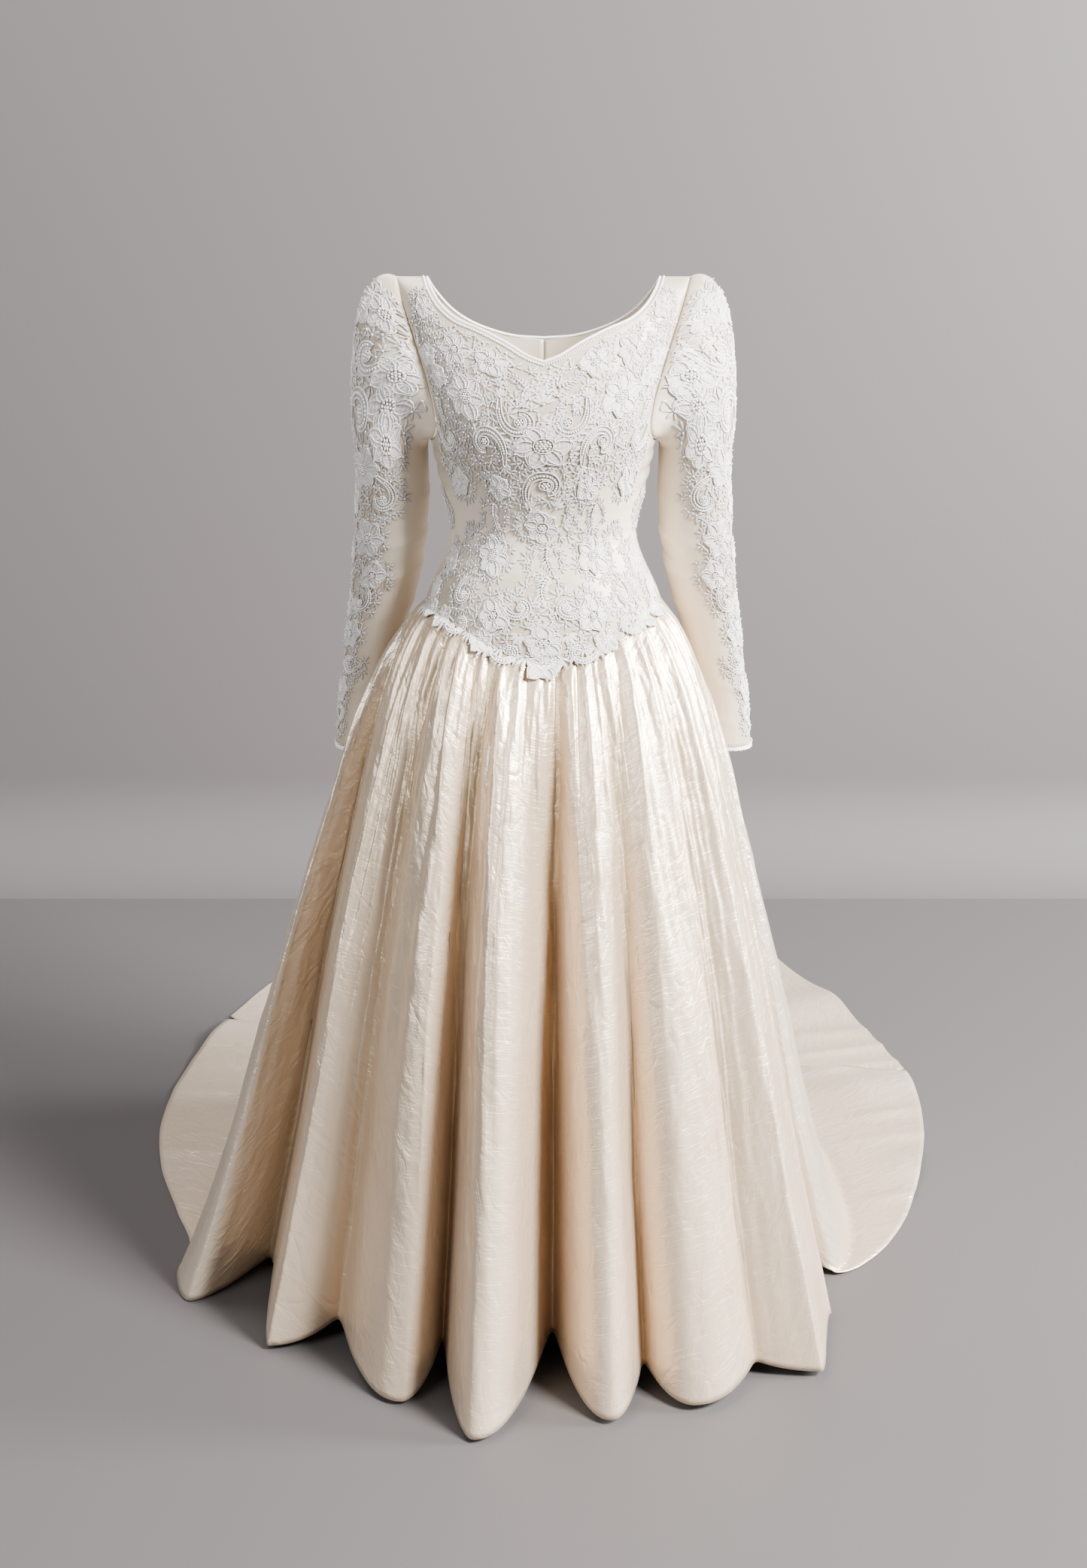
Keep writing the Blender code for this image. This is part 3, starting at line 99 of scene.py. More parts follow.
class Ripple(NamedTuple):
    """A ridge in the cloth that lies on the floor."""

    start_x: float
    start_y: float
    end_x: float
    end_y: float
    width: float
    rise: float


class SleeveRow(NamedTuple):
    """One section of the sleeve below its cap."""

    height: float
    out: float
    back: float
    half_width: float
    half_depth: float


class Lace(Enum):
    """The kinds of lace motif."""

    ROSE = "rose"
    SCROLL = "scroll"
    SPRIG = "sprig"
    FAN = "fan"


class Motif(NamedTuple):
    """A lace motif: kind, distance from the line it follows, height, size, turn, on both sides."""

    kind: Lace
    side: float
    height: float
    size: float
    turn: float
    both: bool = False


BODY_ROWS = (
    BodyRow(0.895, 0.172, 0.150, 0.138), BodyRow(0.985, 0.160, 0.134, 0.122),
    BodyRow(1.090, 0.123, 0.098, 0.086), BodyRow(1.155, 0.137, 0.112, 0.093),
    BodyRow(1.225, 0.152, 0.126, 0.101), BodyRow(1.300, 0.170, 0.108, 0.100),
    BodyRow(1.360, 0.181, 0.076, 0.084), BodyRow(1.395, 0.186, 0.042, 0.050),
    BodyRow(1.412, 0.190, 0.0004, 0.0004),
)
FRONT_NECKLINE = (
    EdgeRow(0.0, 1.311), EdgeRow(0.022, 1.319), EdgeRow(0.050, 1.335), EdgeRow(0.082, 1.350),
    EdgeRow(0.112, 1.362), EdgeRow(0.132, 1.378), EdgeRow(0.145, 1.397), EdgeRow(0.152, 1.412),
)
BACK_NECKLINE = (
    EdgeRow(0.0, 1.326), EdgeRow(0.045, 1.330), EdgeRow(0.090, 1.345), EdgeRow(0.122, 1.366),
    EdgeRow(0.143, 1.392), EdgeRow(0.152, 1.412),
)
FRONT_ARMHOLE = (
    EdgeRow(0.1885, 1.412), EdgeRow(0.180, 1.382), EdgeRow(0.167, 1.345), EdgeRow(0.152, 1.300),
    EdgeRow(0.141, 1.260), EdgeRow(0.137, 1.228), EdgeRow(0.143, 1.211), EdgeRow(0.1485, 1.207),
)
BACK_ARMHOLE = (
    EdgeRow(0.1885, 1.412), EdgeRow(0.181, 1.382), EdgeRow(0.170, 1.345), EdgeRow(0.157, 1.300),
    EdgeRow(0.147, 1.260), EdgeRow(0.142, 1.228), EdgeRow(0.145, 1.211), EdgeRow(0.1485, 1.207),
)
SEAM_TURNS = (0.0, 18.0, 38.0, 60.0, 90.0, 120.0, 150.0, 180.0)
SEAM_HEIGHTS = (0.933, 0.951, 0.975, 0.989, 0.993, 0.984, 0.967, 0.950)
FRONT_FOLDS = (
    FoldRow(-80.0, 0, -0.3939, -0.0669, 0.018), FoldRow(-61.0, 1, -0.376, -0.262, 0.006),
    FoldRow(-47.0, 0, -0.283, -0.232, 0.028), FoldRow(-35.0, 1, -0.186, -0.388, 0.004),
    FoldRow(-23.0, 0, -0.136, -0.290, 0.030), FoldRow(-11.0, 1, -0.088, -0.470, 0.004),
    FoldRow(3.0, 0, 0.012, -0.272, 0.034), FoldRow(13.5, 1, 0.086, -0.432, 0.006),
    FoldRow(23.0, 0, 0.133, -0.335, 0.026), FoldRow(33.0, 1, 0.196, -0.402, 0.008),
    FoldRow(44.0, 0, 0.284, -0.322, 0.020), FoldRow(57.0, 1, 0.370, -0.326, 0.008),
    FoldRow(69.0, 1, 0.404, -0.190, 0.012), FoldRow(80.0, 0, 0.3939, -0.0669, 0.018),
)
LEFT_TRAIN = (
    TrainRow(80.0, 0.3939, -0.0669, 1.0, 0.0, 0.018), TrainRow(86.0, 0.408, -0.046, 1.0, 0.0, 0.012),
    TrainRow(92.0, 0.462, -0.112, 1.0, 0.05, 0.003), TrainRow(98.0, 0.508, -0.138, 1.0, 0.10, 0.0),
    TrainRow(104.0, 0.536, -0.070, 1.0, 0.40, 0.0), TrainRow(111.0, 0.532, 0.020, 0.97, 0.70, 0.0),
    TrainRow(118.0, 0.566, 0.112, 0.88, 0.95, 0.0), TrainRow(127.0, 0.622, 0.270, 0.76, 1.0, 0.0),
    TrainRow(136.0, 0.650, 0.440, 0.67, 1.0, 0.0), TrainRow(145.0, 0.643, 0.640, 0.60, 1.0, 0.0),
    TrainRow(153.0, 0.603, 0.845, 0.53, 1.0, 0.0), TrainRow(161.0, 0.528, 1.070, 0.46, 1.0, 0.0),
    TrainRow(169.0, 0.395, 1.290, 0.40, 1.0, 0.0), TrainRow(175.0, 0.205, 1.440, 0.36, 1.0, 0.0),
    TrainRow(180.0, 0.0, 1.490, 0.34, 1.0, 0.0),
)
RIGHT_TRAIN = (
    TrainRow(80.0, 0.3939, -0.0669, 1.0, 0.0, 0.018), TrainRow(88.0, 0.436, -0.066, 0.97, 0.15, 0.003),
    TrainRow(98.0, 0.500, -0.006, 0.87, 0.35, 0.0), TrainRow(108.0, 0.556, 0.092, 0.79, 0.75, 0.0),
    TrainRow(118.0, 0.606, 0.238, 0.71, 1.0, 0.0), TrainRow(129.0, 0.645, 0.420, 0.65, 1.0, 0.0),
    TrainRow(141.0, 0.648, 0.610, 0.60, 1.0, 0.0), TrainRow(151.0, 0.605, 0.810, 0.54, 1.0, 0.0),
    TrainRow(160.0, 0.528, 1.040, 0.47, 1.0, 0.0), TrainRow(168.0, 0.405, 1.270, 0.40, 1.0, 0.0),
    TrainRow(175.0, 0.205, 1.440, 0.36, 1.0, 0.0), TrainRow(180.0, 0.0, 1.490, 0.34, 1.0, 0.0),
)
LEFT_CORNER, RIGHT_CORNER = 153.0, 141.0
FALL_OUT = (0.0, 0.07, 0.13, 0.24, 0.42, 0.60, 0.79, 0.90, 1.0)
FALL_HANGING = (1.0, 0.977, 0.950, 0.880, 0.700, 0.500, 0.250, 0.120, 0.0)
FALL_SWEPT = (1.0, 0.945, 0.895, 0.800, 0.590, 0.370, 0.150, 0.045, 0.0)
BACK_FOLDS = (
    (-166.0, 0.034, 6.5), (-147.0, 0.028, 6.0), (-129.0, 0.022, 5.0), (124.0, 0.020, 5.5),
    (143.0, 0.030, 6.5), (162.0, 0.026, 5.5), (180.0, 0.020, 4.5),
)
RIPPLES = (
    Ripple(0.44, 0.50, 0.70, 0.60, 0.060, 0.012), Ripple(0.34, 0.84, 0.64, 0.96, 0.070, 0.016),
    Ripple(0.46, 0.22, 0.68, 0.27, 0.055, 0.010), Ripple(0.28, 1.06, 0.50, 1.24, 0.070, 0.012),
    Ripple(-0.42, 0.72, -0.68, 0.80, 0.070, 0.009), Ripple(-0.30, 1.02, -0.52, 1.20, 0.070, 0.012),
    Ripple(0.06, 0.90, 0.12, 1.46, 0.070, 0.010), Ripple(-0.12, 0.94, -0.20, 1.42, 0.065, 0.009),
)
FINE_RIPPLES = (
    Ripple(0.43, 0.60, 0.66, 0.66, 0.016, 0.007), Ripple(0.42, 0.67, 0.66, 0.74, 0.014, 0.006),
    Ripple(0.44, 0.76, 0.62, 0.80, 0.018, 0.006), Ripple(0.46, 0.34, 0.66, 0.38, 0.015, 0.005),
    Ripple(0.46, 0.14, 0.60, 0.17, 0.013, 0.006), Ripple(0.48, 0.42, 0.66, 0.47, 0.014, 0.005),
    Ripple(-0.44, 0.52, -0.66, 0.55, 0.020, 0.004), Ripple(-0.44, 0.62, -0.64, 0.67, 0.018, 0.004),
    Ripple(-0.42, 0.30, -0.63, 0.32, 0.018, 0.004), Ripple(0.00, 0.80, 0.02, 1.44, 0.024, 0.005),
    Ripple(-0.30, 0.84, -0.44, 1.24, 0.022, 0.004), Ripple(0.24, 0.86, 0.34, 1.30, 0.020, 0.005),
)
SLEEVE_ROWS = (
    SleeveRow(1.190, 0.2000, 0.014, 0.0475, 0.054), SleeveRow(1.130, 0.2010, 0.026, 0.0480, 0.054),
    SleeveRow(1.060, 0.2080, 0.043, 0.0485, 0.053), SleeveRow(1.000, 0.2175, 0.062, 0.0450, 0.050),
    SleeveRow(0.930, 0.2350, 0.082, 0.0400, 0.045), SleeveRow(0.860, 0.2505, 0.096, 0.0345, 0.039),
    SleeveRow(0.800, 0.2625, 0.104, 0.0300, 0.034), SleeveRow(0.762, 0.2690, 0.106, 0.0275, 0.031),
)
BODICE_LACE = (
    Motif(Lace.ROSE, 0.000, 1.211, 0.030, 0.0), Motif(Lace.SCROLL, 0.030, 1.240, 0.024, 100.0, True),
    Motif(Lace.ROSE, 0.098, 1.270, 0.027, 20.0, True), Motif(Lace.SCROLL, 0.074, 1.216, 0.026, 275.0, True),
    Motif(Lace.ROSE, 0.112, 1.326, 0.021, 10.0, True), Motif(Lace.ROSE, 0.152, 1.376, 0.017, 0.0, True),
    Motif(Lace.ROSE, 0.066, 1.312, 0.018, 40.0, True), Motif(Lace.ROSE, 0.146, 1.318, 0.015, 15.0, True),
    Motif(Lace.SCROLL, 0.003, 1.160, 0.025, 288.0), Motif(Lace.ROSE, 0.056, 1.156, 0.016, 0.0, True),
    Motif(Lace.SCROLL, 0.118, 1.214, 0.018, 84.0, True), Motif(Lace.ROSE, 0.106, 1.160, 0.018, 30.0, True),
    Motif(Lace.ROSE, -0.002, 1.104, 0.021, 36.0), Motif(Lace.FAN, 0.024, 1.108, 0.020, 15.0, True),
    Motif(Lace.FAN, 0.016, 1.130, 0.017, 70.0, True), Motif(Lace.SPRIG, 0.062, 1.118, 0.032, 268.0, True),
    Motif(Lace.SPRIG, 0.124, 1.118, 0.032, 280.0, True), Motif(Lace.SPRIG, 0.006, 1.062, 0.029, 280.0),
    Motif(Lace.SPRIG, 0.000, 1.028, 0.026, 262.0), Motif(Lace.ROSE, 0.064, 1.066, 0.026, 20.0, True),
    Motif(Lace.FAN, 0.092, 1.086, 0.020, 45.0, True), Motif(Lace.ROSE, 0.118, 1.054, 0.018, 0.0, True),
    Motif(Lace.SCROLL, 0.030, 1.004, 0.018, 66.0, True), Motif(Lace.ROSE, 0.064, 0.994, 0.020, 0.0, True),
    Motif(Lace.SCROLL, 0.104, 1.016, 0.019, 150.0, True), Motif(Lace.ROSE, 0.140, 1.016, 0.014, 0.0, True),
    Motif(Lace.ROSE, 0.000, 0.962, 0.018, 18.0), Motif(Lace.FAN, 0.030, 0.972, 0.017, 300.0, True),
    Motif(Lace.SPRIG, 0.034, 1.290, 0.026, 38.0, True), Motif(Lace.FAN, 0.000, 1.262, 0.017, 90.0),
    Motif(Lace.ROSE, 0.132, 1.294, 0.014, 0.0, True), Motif(Lace.SPRIG, 0.130, 1.252, 0.026, 262.0, True),
    Motif(Lace.SPRIG, 0.160, 1.342, 0.022, 80.0, True), Motif(Lace.FAN, 0.088, 1.306, 0.016, 200.0, True),
)
SLEEVE_LACE = (
    Motif(Lace.ROSE, 0.000, 1.378, 0.023, 0.0), Motif(Lace.ROSE, 0.040, 1.338, 0.022, 20.0),
    Motif(Lace.ROSE, -0.036, 1.336, 0.021, 40.0), Motif(Lace.SCROLL, 0.004, 1.304, 0.0213, 80.0),
    Motif(Lace.ROSE, 0.044, 1.272, 0.024, 0.0), Motif(Lace.ROSE, -0.040, 1.270, 0.022, 10.0),
    Motif(Lace.SCROLL, 0.006, 1.234, 0.0213, 240.0), Motif(Lace.ROSE, 0.045, 1.206, 0.022, 30.0),
    Motif(Lace.SCROLL, -0.036, 1.200, 0.0197, 20.0), Motif(Lace.ROSE, 0.006, 1.168, 0.026, 0.0),
    Motif(Lace.SCROLL, 0.038, 1.128, 0.0213, 150.0), Motif(Lace.ROSE, -0.028, 1.120, 0.022, 20.0),
    Motif(Lace.ROSE, 0.018, 1.074, 0.025, 50.0), Motif(Lace.SCROLL, -0.022, 1.044, 0.0189, 300.0),
    Motif(Lace.ROSE, 0.030, 1.022, 0.019, 0.0), Motif(Lace.SCROLL, 0.014, 0.980, 0.0189, 120.0),
    Motif(Lace.ROSE, -0.020, 0.972, 0.018, 15.0), Motif(Lace.ROSE, 0.004, 0.932, 0.021, 0.0),
    Motif(Lace.SCROLL, 0.008, 0.888, 0.0164, 40.0), Motif(Lace.ROSE, -0.004, 0.846, 0.018, 0.0),
    Motif(Lace.SCROLL, 0.004, 0.808, 0.0131, 200.0), Motif(Lace.FAN, 0.000, 0.784, 0.014, 270.0),
)
EDGE_LACE = (
    Motif(Lace.ROSE, 0.000, 0.000, 0.015, 0.0), Motif(Lace.SCROLL, 0.034, 0.004, 0.013, 40.0, True),
    Motif(Lace.ROSE, 0.070, 0.002, 0.014, 20.0, True), Motif(Lace.SCROLL, 0.104, 0.006, 0.013, 30.0, True),
    Motif(Lace.ROSE, 0.140, 0.002, 0.013, 10.0, True), Motif(Lace.ROSE, 0.172, 0.003, 0.011, 0.0, True),
)


def smooth_read(keys: Sequence[float], values: Sequence[float], at: np.ndarray) -> np.ndarray:
    """Read a table on a smooth curve through its rows.

    Args:
        keys: The table's places, rising.
        values: The value at each place.
        at: The places to read.

    Returns:
        The value at each place read.
    """
    places, sizes = np.asarray(keys, float), np.asarray(values, float)
    slopes = np.gradient(sizes, places)
    at = np.asarray(at, float)
    index = np.clip(np.searchsorted(places, at, side="left") - 1, 0, len(places) - 2)
    width = places[index + 1] - places[index]
    t = np.clip((at - places[index]) / width, 0.0, 1.0)
    return ((2 * t**3 - 3 * t**2 + 1) * sizes[index] + (t**3 - 2 * t**2 + t) * slopes[index] * width
            + (3 * t**2 - 2 * t**3) * sizes[index + 1] + (t**3 - t**2) * slopes[index + 1] * width)


def column(rows: Sequence[NamedTuple], name: str) -> list[float]:
    """Return one named column of a table."""
    return [getattr(row, name) for row in rows]


def signed_power(value: np.ndarray, power: float) -> np.ndarray:
    """Raise numbers to a power and keep their signs."""
    return np.sign(value) * np.abs(value) ** power


def unit(vectors: np.ndarray) -> np.ndarray:
    """Return vectors at a length of one."""
    return vectors / np.maximum(np.linalg.norm(vectors, axis=-1, keepdims=True), 1e-9)


def uneven(turn: np.ndarray, seed: float) -> np.ndarray:
    """Return a smooth uneven wave from -1 to 1 along turns, the same each time."""
    return (0.5 * np.sin(turn * 0.37 + seed) + 0.3 * np.sin(turn * 0.83 + seed * 2.3)
            + 0.2 * np.sin(turn * 1.71 + seed * 3.1))


@dataclass
class BodyForm:
    """The outer surface of the bodice, read from its sections."""

    rows: tuple[BodyRow, ...] = BODY_ROWS
    shoulder_round: float = 0.016
    rises: np.ndarray = field(init=False)

    def __post_init__(self) -> None:
        """Work out how far up the front line each section lies."""
        steps = [math.hypot(b.height - a.height, b.front - a.front) for a, b in zip(self.rows, self.rows[1:])]
        self.rises = np.concatenate(([0.0], np.cumsum(steps)))
        self.fine = np.linspace(0.0, self.rises[-1], 400)
        self.heights = self.size(self.fine, "height")

    def size(self, rise: np.ndarray, name: str) -> np.ndarray:
        """Read one size of the body at a rise."""
        return smooth_read(self.rises, column(self.rows, name), rise)

    def rise_at(self, height: np.ndarray) -> np.ndarray:
        """Return the rise at which the body has a height."""
        return np.interp(height, self.heights, self.fine)

    def point(self, turn: np.ndarray, rise: np.ndarray) -> np.ndarray:
        """Return surface points; turn 0 is centre front and 180 centre back."""
        angle = np.radians(turn)
        forward = np.cos(angle)
        depth = np.where(forward > 0, self.size(rise, "front"), self.size(rise, "back"))
        x = self.size(rise, "half_width") * signed_power(np.sin(angle), SQUARENESS)
        y = -depth * signed_power(forward, SQUARENESS)
        return np.stack((x, y, self.size(rise, "height") - SHOULDER_HEIGHT), axis=-1)

    def normal(self, turn: np.ndarray, rise: np.ndarray) -> np.ndarray:
        """Return outward directions; on the shoulder they point up."""
        low = np.minimum(rise, self.rises[-1] - 0.002)
        across = self.point(turn + 0.5, low) - self.point(turn - 0.5, low)
        along = self.point(turn, low + 0.001) - self.point(turn, low - 0.001)
        share = np.clip((rise - self.rises[-1] + self.shoulder_round) / self.shoulder_round, 0.0, 1.0)
        share = share[..., None] ** 2
        return unit(unit(np.cross(across, along)) * (1.0 - share) + np.array((0.0, 0.0, 1.0)) * share)

    def turn_at(self, side: np.ndarray, height: np.ndarray, back: bool) -> np.ndarray:
        """Return the turn at which the body is a distance from its centre line."""
        wide = self.size(self.rise_at(height), "half_width")
        share = np.minimum(np.abs(side) / wide, 1.0)
        turn = np.degrees(np.arcsin(share ** (1.0 / SQUARENESS)))
        return 180.0 - turn if back else turn

    def seam_rise(self, turn: np.ndarray) -> np.ndarray:
        """Return the rise of the dropped waist seam."""
        height = smooth_read(SEAM_TURNS, SEAM_HEIGHTS, np.minimum(np.abs(turn), 180.0))
        return self.rise_at(height)

    def edge(self, rows: Sequence[EdgeRow], back: bool, count: int) -> tuple[np.ndarray, np.ndarray]:
        """Return turns and rises along an edge table.

        Args:
            rows: The edge table.
            back: Whether the edge is on the back.
            count: The number of points.

        Returns:
            The turns and the rises.
        """
        keys = np.arange(len(rows))
        at = np.linspace(0.0, len(rows) - 1.0, count)
        height = smooth_read(keys, column(rows, "height"), at)
        return self.turn_at(smooth_read(keys, column(rows, "side"), at), height, back), self.rise_at(height)


@dataclass
class SkirtForm:
    """The outer surface of the skirt and train."""

    body: BodyForm
    gather_turn: float = 8.0
    back_gather_turn: float = 13.0
    gather_depth: float = 0.0042
    fine_gather_depth: float = 0.0012
    base_half_width: float = 0.400
    base_forward: float = 0.385
    fold_fullness: float = 0.20
    ripple_start: float = 0.90
    ripple_fade: float = 0.30

    def seam(self, turn: np.ndarray) -> np.ndarray:
        """Return points just below the waist seam, with heights from the floor."""
        height = smooth_read(SEAM_TURNS, SEAM_HEIGHTS, np.minimum(np.abs(turn), 180.0)) - SEAM_GAP
        point = self.body.point(turn, self.body.rise_at(height))
        return point + np.array((0.0, 0.0, SHOULDER_HEIGHT))

    def fold(self, turn: np.ndarray) -> tuple[np.ndarray, np.ndarray]:
        """Return the hem point of front columns and how near a crest each is."""
        turns = np.array(column(FRONT_FOLDS, "turn"))
        index = np.clip(np.searchsorted(turns, turn + 1e-9, side="right") - 1, 0, len(turns) - 2)
        share = np.clip((turn - turns[index]) / (turns[index + 1] - turns[index]), 0.0, 1.0)
        crest = np.array(column(FRONT_FOLDS, "crest"), float)
        swing = 0.5 - 0.5 * np.cos(np.pi * share)
        across = share + self.fold_fullness * np.sin(np.pi * share) * (crest[index] - crest[index + 1])

        def between(name: str, amount: np.ndarray) -> np.ndarray:
            values = np.array(column(FRONT_FOLDS, name))
            return values[index] + (values[index + 1] - values[index]) * amount

        hem = np.stack((between("hem_x", across), between("hem_y", swing), between("hem_height", swing)), -1)
        return hem, crest[index] + (crest[index + 1] - crest[index]) * swing

    def fall(self, share: np.ndarray, sweep: np.ndarray) -> np.ndarray:
        """Return the share of the drop left at a share of the way out."""
        hanging = smooth_read(FALL_OUT, FALL_HANGING, share)
        return hanging + (smooth_read(FALL_OUT, FALL_SWEPT, share) - hanging) * sweep

    def gathers(self, turn: np.ndarray, left: np.ndarray) -> np.ndarray:
        """Return how far the gathers stand out below the waist seam."""
        fallen = 1.0 - left
        length = 0.22 * (1.0 + 0.45 * uneven(turn * 0.6, 13.0))
        fade = np.minimum(fallen / 0.03, 1.0) * np.exp(-np.maximum(fallen - 0.03, 0.0) / length)
        past = np.maximum(np.abs(turn) - SKIRT_SIDE_TURN, 0.0)
        phase = np.minimum(np.abs(turn), SKIRT_SIDE_TURN) / self.gather_turn + past / self.back_gather_turn
        phase = phase + 0.32 * uneven(turn * 0.5, 11.0)
        wave = self.gather_depth * (0.85 + 0.35 * uneven(turn * 0.7, 12.0)) * np.cos(2.0 * np.pi * phase)
        small = np.cos(2.0 * np.pi * phase * 2.0 + 1.6 * uneven(turn, 4.0))
        long = uneven(turn * 0.9, 1.0) * np.minimum(fallen / 0.12, 1.0) * np.exp(-fallen / 0.65)
        return fade * (wave + self.fine_gather_depth * small * (0.6 + 0.4 * uneven(turn, 7.0))) + 0.0035 * long

    def creases(self, turn: np.ndarray, share: np.ndarray) -> np.ndarray:
        """Return the shallow dents and ridges of cloth that hangs freely, which die out at its edges."""
        middle = np.sin(np.pi * np.clip(share, 0.0, 1.0)) ** 0.7
        wander = turn + 2.2 * np.sin(share * 5.0 + turn * 0.05)
        slant = 0.0012 * uneven(turn * 1.9 - share * 64.0, 8.0) + 0.0009 * uneven(turn * 2.6 + share * 90.0, 3.0)
        return middle * (0.0026 * uneven(wander * 1.6, 2.0) + 0.0014 * uneven(wander * 3.7 + share * 9.0, 5.0) + slant)

    def front(self, turn: np.ndarray, share: np.ndarray) -> np.ndarray:
        """Return points of the skirt's front, with heights from the floor."""
        start = self.seam(turn)
        angle = np.radians(turn)
        base = np.stack((self.base_half_width * np.sin(angle), -self.base_forward * np.cos(angle),
                         np.zeros_like(angle)), -1)
        hem, _ = self.fold(turn)
        left = self.fall(share, np.zeros_like(share))
        radial = unit(start * np.array((1.0, 1.0, 0.0)))
        edge = np.clip((SKIRT_SIDE_TURN - np.abs(turn)) / 4.0, 0.0, 1.0)
        push = self.gathers(turn, left) + self.creases(turn, share) * edge
        spot = start + (base - start) * share[..., None] + (hem - base) * ((1.0 - left) ** 0.85)[..., None]
        spot = spot + radial * push[..., None]
        spot[..., 2] = hem[..., 2] + (start[..., 2] - hem[..., 2]) * left
        return spot

    def ripple(self, x: np.ndarray, y: np.ndarray) -> np.ndarray:
        """Return how far the lying cloth is raised."""
        height = np.zeros_like(x)
        for row in RIPPLES + FINE_RIPPLES:
            span = np.array((row.end_x - row.start_x, row.end_y - row.start_y))
            away_x, away_y = x - row.start_x, y - row.start_y
            share = (away_x * span[0] + away_y * span[1]) / float(span @ span)
            across = np.abs(away_x * span[1] - away_y * span[0]) / math.hypot(*span)
            height += row.rise * np.exp(-((share - 0.55) / 0.42) ** 4 - (across / row.width) ** 2)
        return height

    def train(self, turn: np.ndarray, share: np.ndarray) -> np.ndarray:
        """Return points of the side and train, for turns past the side seams of one hand."""
        hand = 1.0 if float(np.mean(turn)) > 0 else -1.0
        rows = RIGHT_TRAIN if hand > 0 else LEFT_TRAIN
        wide = np.abs(turn)
        over = wide > 180.0
        wide = np.where(over, 360.0 - wide, wide)
        start = self.seam(wide)
        keys = column(rows, "turn")
        x, y, land, sweep, height = (smooth_read(keys, column(rows, name), wide)
                                     for name in ("hem_x", "hem_y", "land", "sweep", "hem_height"))
        land, sweep, height = np.minimum(land, 1.0), np.clip(sweep, 0.0, 1.0), np.maximum(height, 0.0)
        fallen = np.minimum(share / land, 1.0)
        left = self.fall(fallen, sweep)
        push = np.zeros_like(wide)
        for place, depth, width in BACK_FOLDS:
            away = (wide * hand - place + 180.0) % 360.0 - 180.0
            push += depth * np.exp(-((away / width) ** 2))
        push *= 1.3 * np.sin(np.pi * fallen) ** 2 * np.minimum((wide - 80.0) / 30.0, 1.0)
        side = np.clip((wide - SKIRT_SIDE_TURN) / 4.0, 0.0, 1.0) * np.clip((180.0 - wide) / 4.0, 0.0, 1.0)
        push += self.gathers(wide, left) + self.creases(wide * hand, fallen) * side
        radial = unit(start * np.array((1.0, 1.0, 0.0)))
        way = np.stack((x - start[..., 0], y - start[..., 1], np.zeros_like(x)), -1)
        spot = start + way * share[..., None] + radial * push[..., None]
        spot[..., 0] = np.where(wide < 180.0, spot[..., 0], 0.0) * hand * np.where(over, -1.0, 1.0)
        lying = np.clip((share - land * self.ripple_start) / self.ripple_fade, 0.0, 1.0) ** 2
        spot[..., 2] = height + (start[..., 2] - height) * left + lying * self.ripple(spot[..., 0], spot[..., 1])
        return spot

    def point(self, turn: np.ndarray, share: np.ndarray) -> np.ndarray:
        """Return points of the skirt or train for columns all of one piece."""
        return self.front(turn, share) if np.all(np.abs(turn) <= SKIRT_SIDE_TURN + 1e-6) else self.train(turn, share)

    def crest(self, turn: np.ndarray, drop: np.ndarray) -> np.ndarray:
        """Return points on the crests of the gathers, a drop below the waist seam."""
        start = self.seam(turn)
        angle = np.radians(turn)
        base = np.stack((self.base_half_width * np.sin(angle), -self.base_forward * np.cos(angle),
                         np.zeros_like(angle)), -1)
        hem, _ = self.fold(turn)
        shares = np.linspace(0.0, 0.25, 60)
        fallen = 1.0 - self.fall(shares, np.zeros_like(shares))
        share = np.interp(drop / (start[..., 2] - hem[..., 2]), fallen, shares)
        left = self.fall(share, np.zeros_like(share))
        spot = start + (base - start) * share[..., None] + (hem - base) * ((1.0 - left) ** 0.85)[..., None]
        out = self.gather_depth * np.minimum((1.0 - left) / 0.03, 1.0) + 0.0016
        spot = spot + unit(base * np.array((1.0, 1.0, 0.0))) * out[..., None]
        spot[..., 2] = hem[..., 2] + (start[..., 2] - hem[..., 2]) * left - SHOULDER_HEIGHT
        return spot


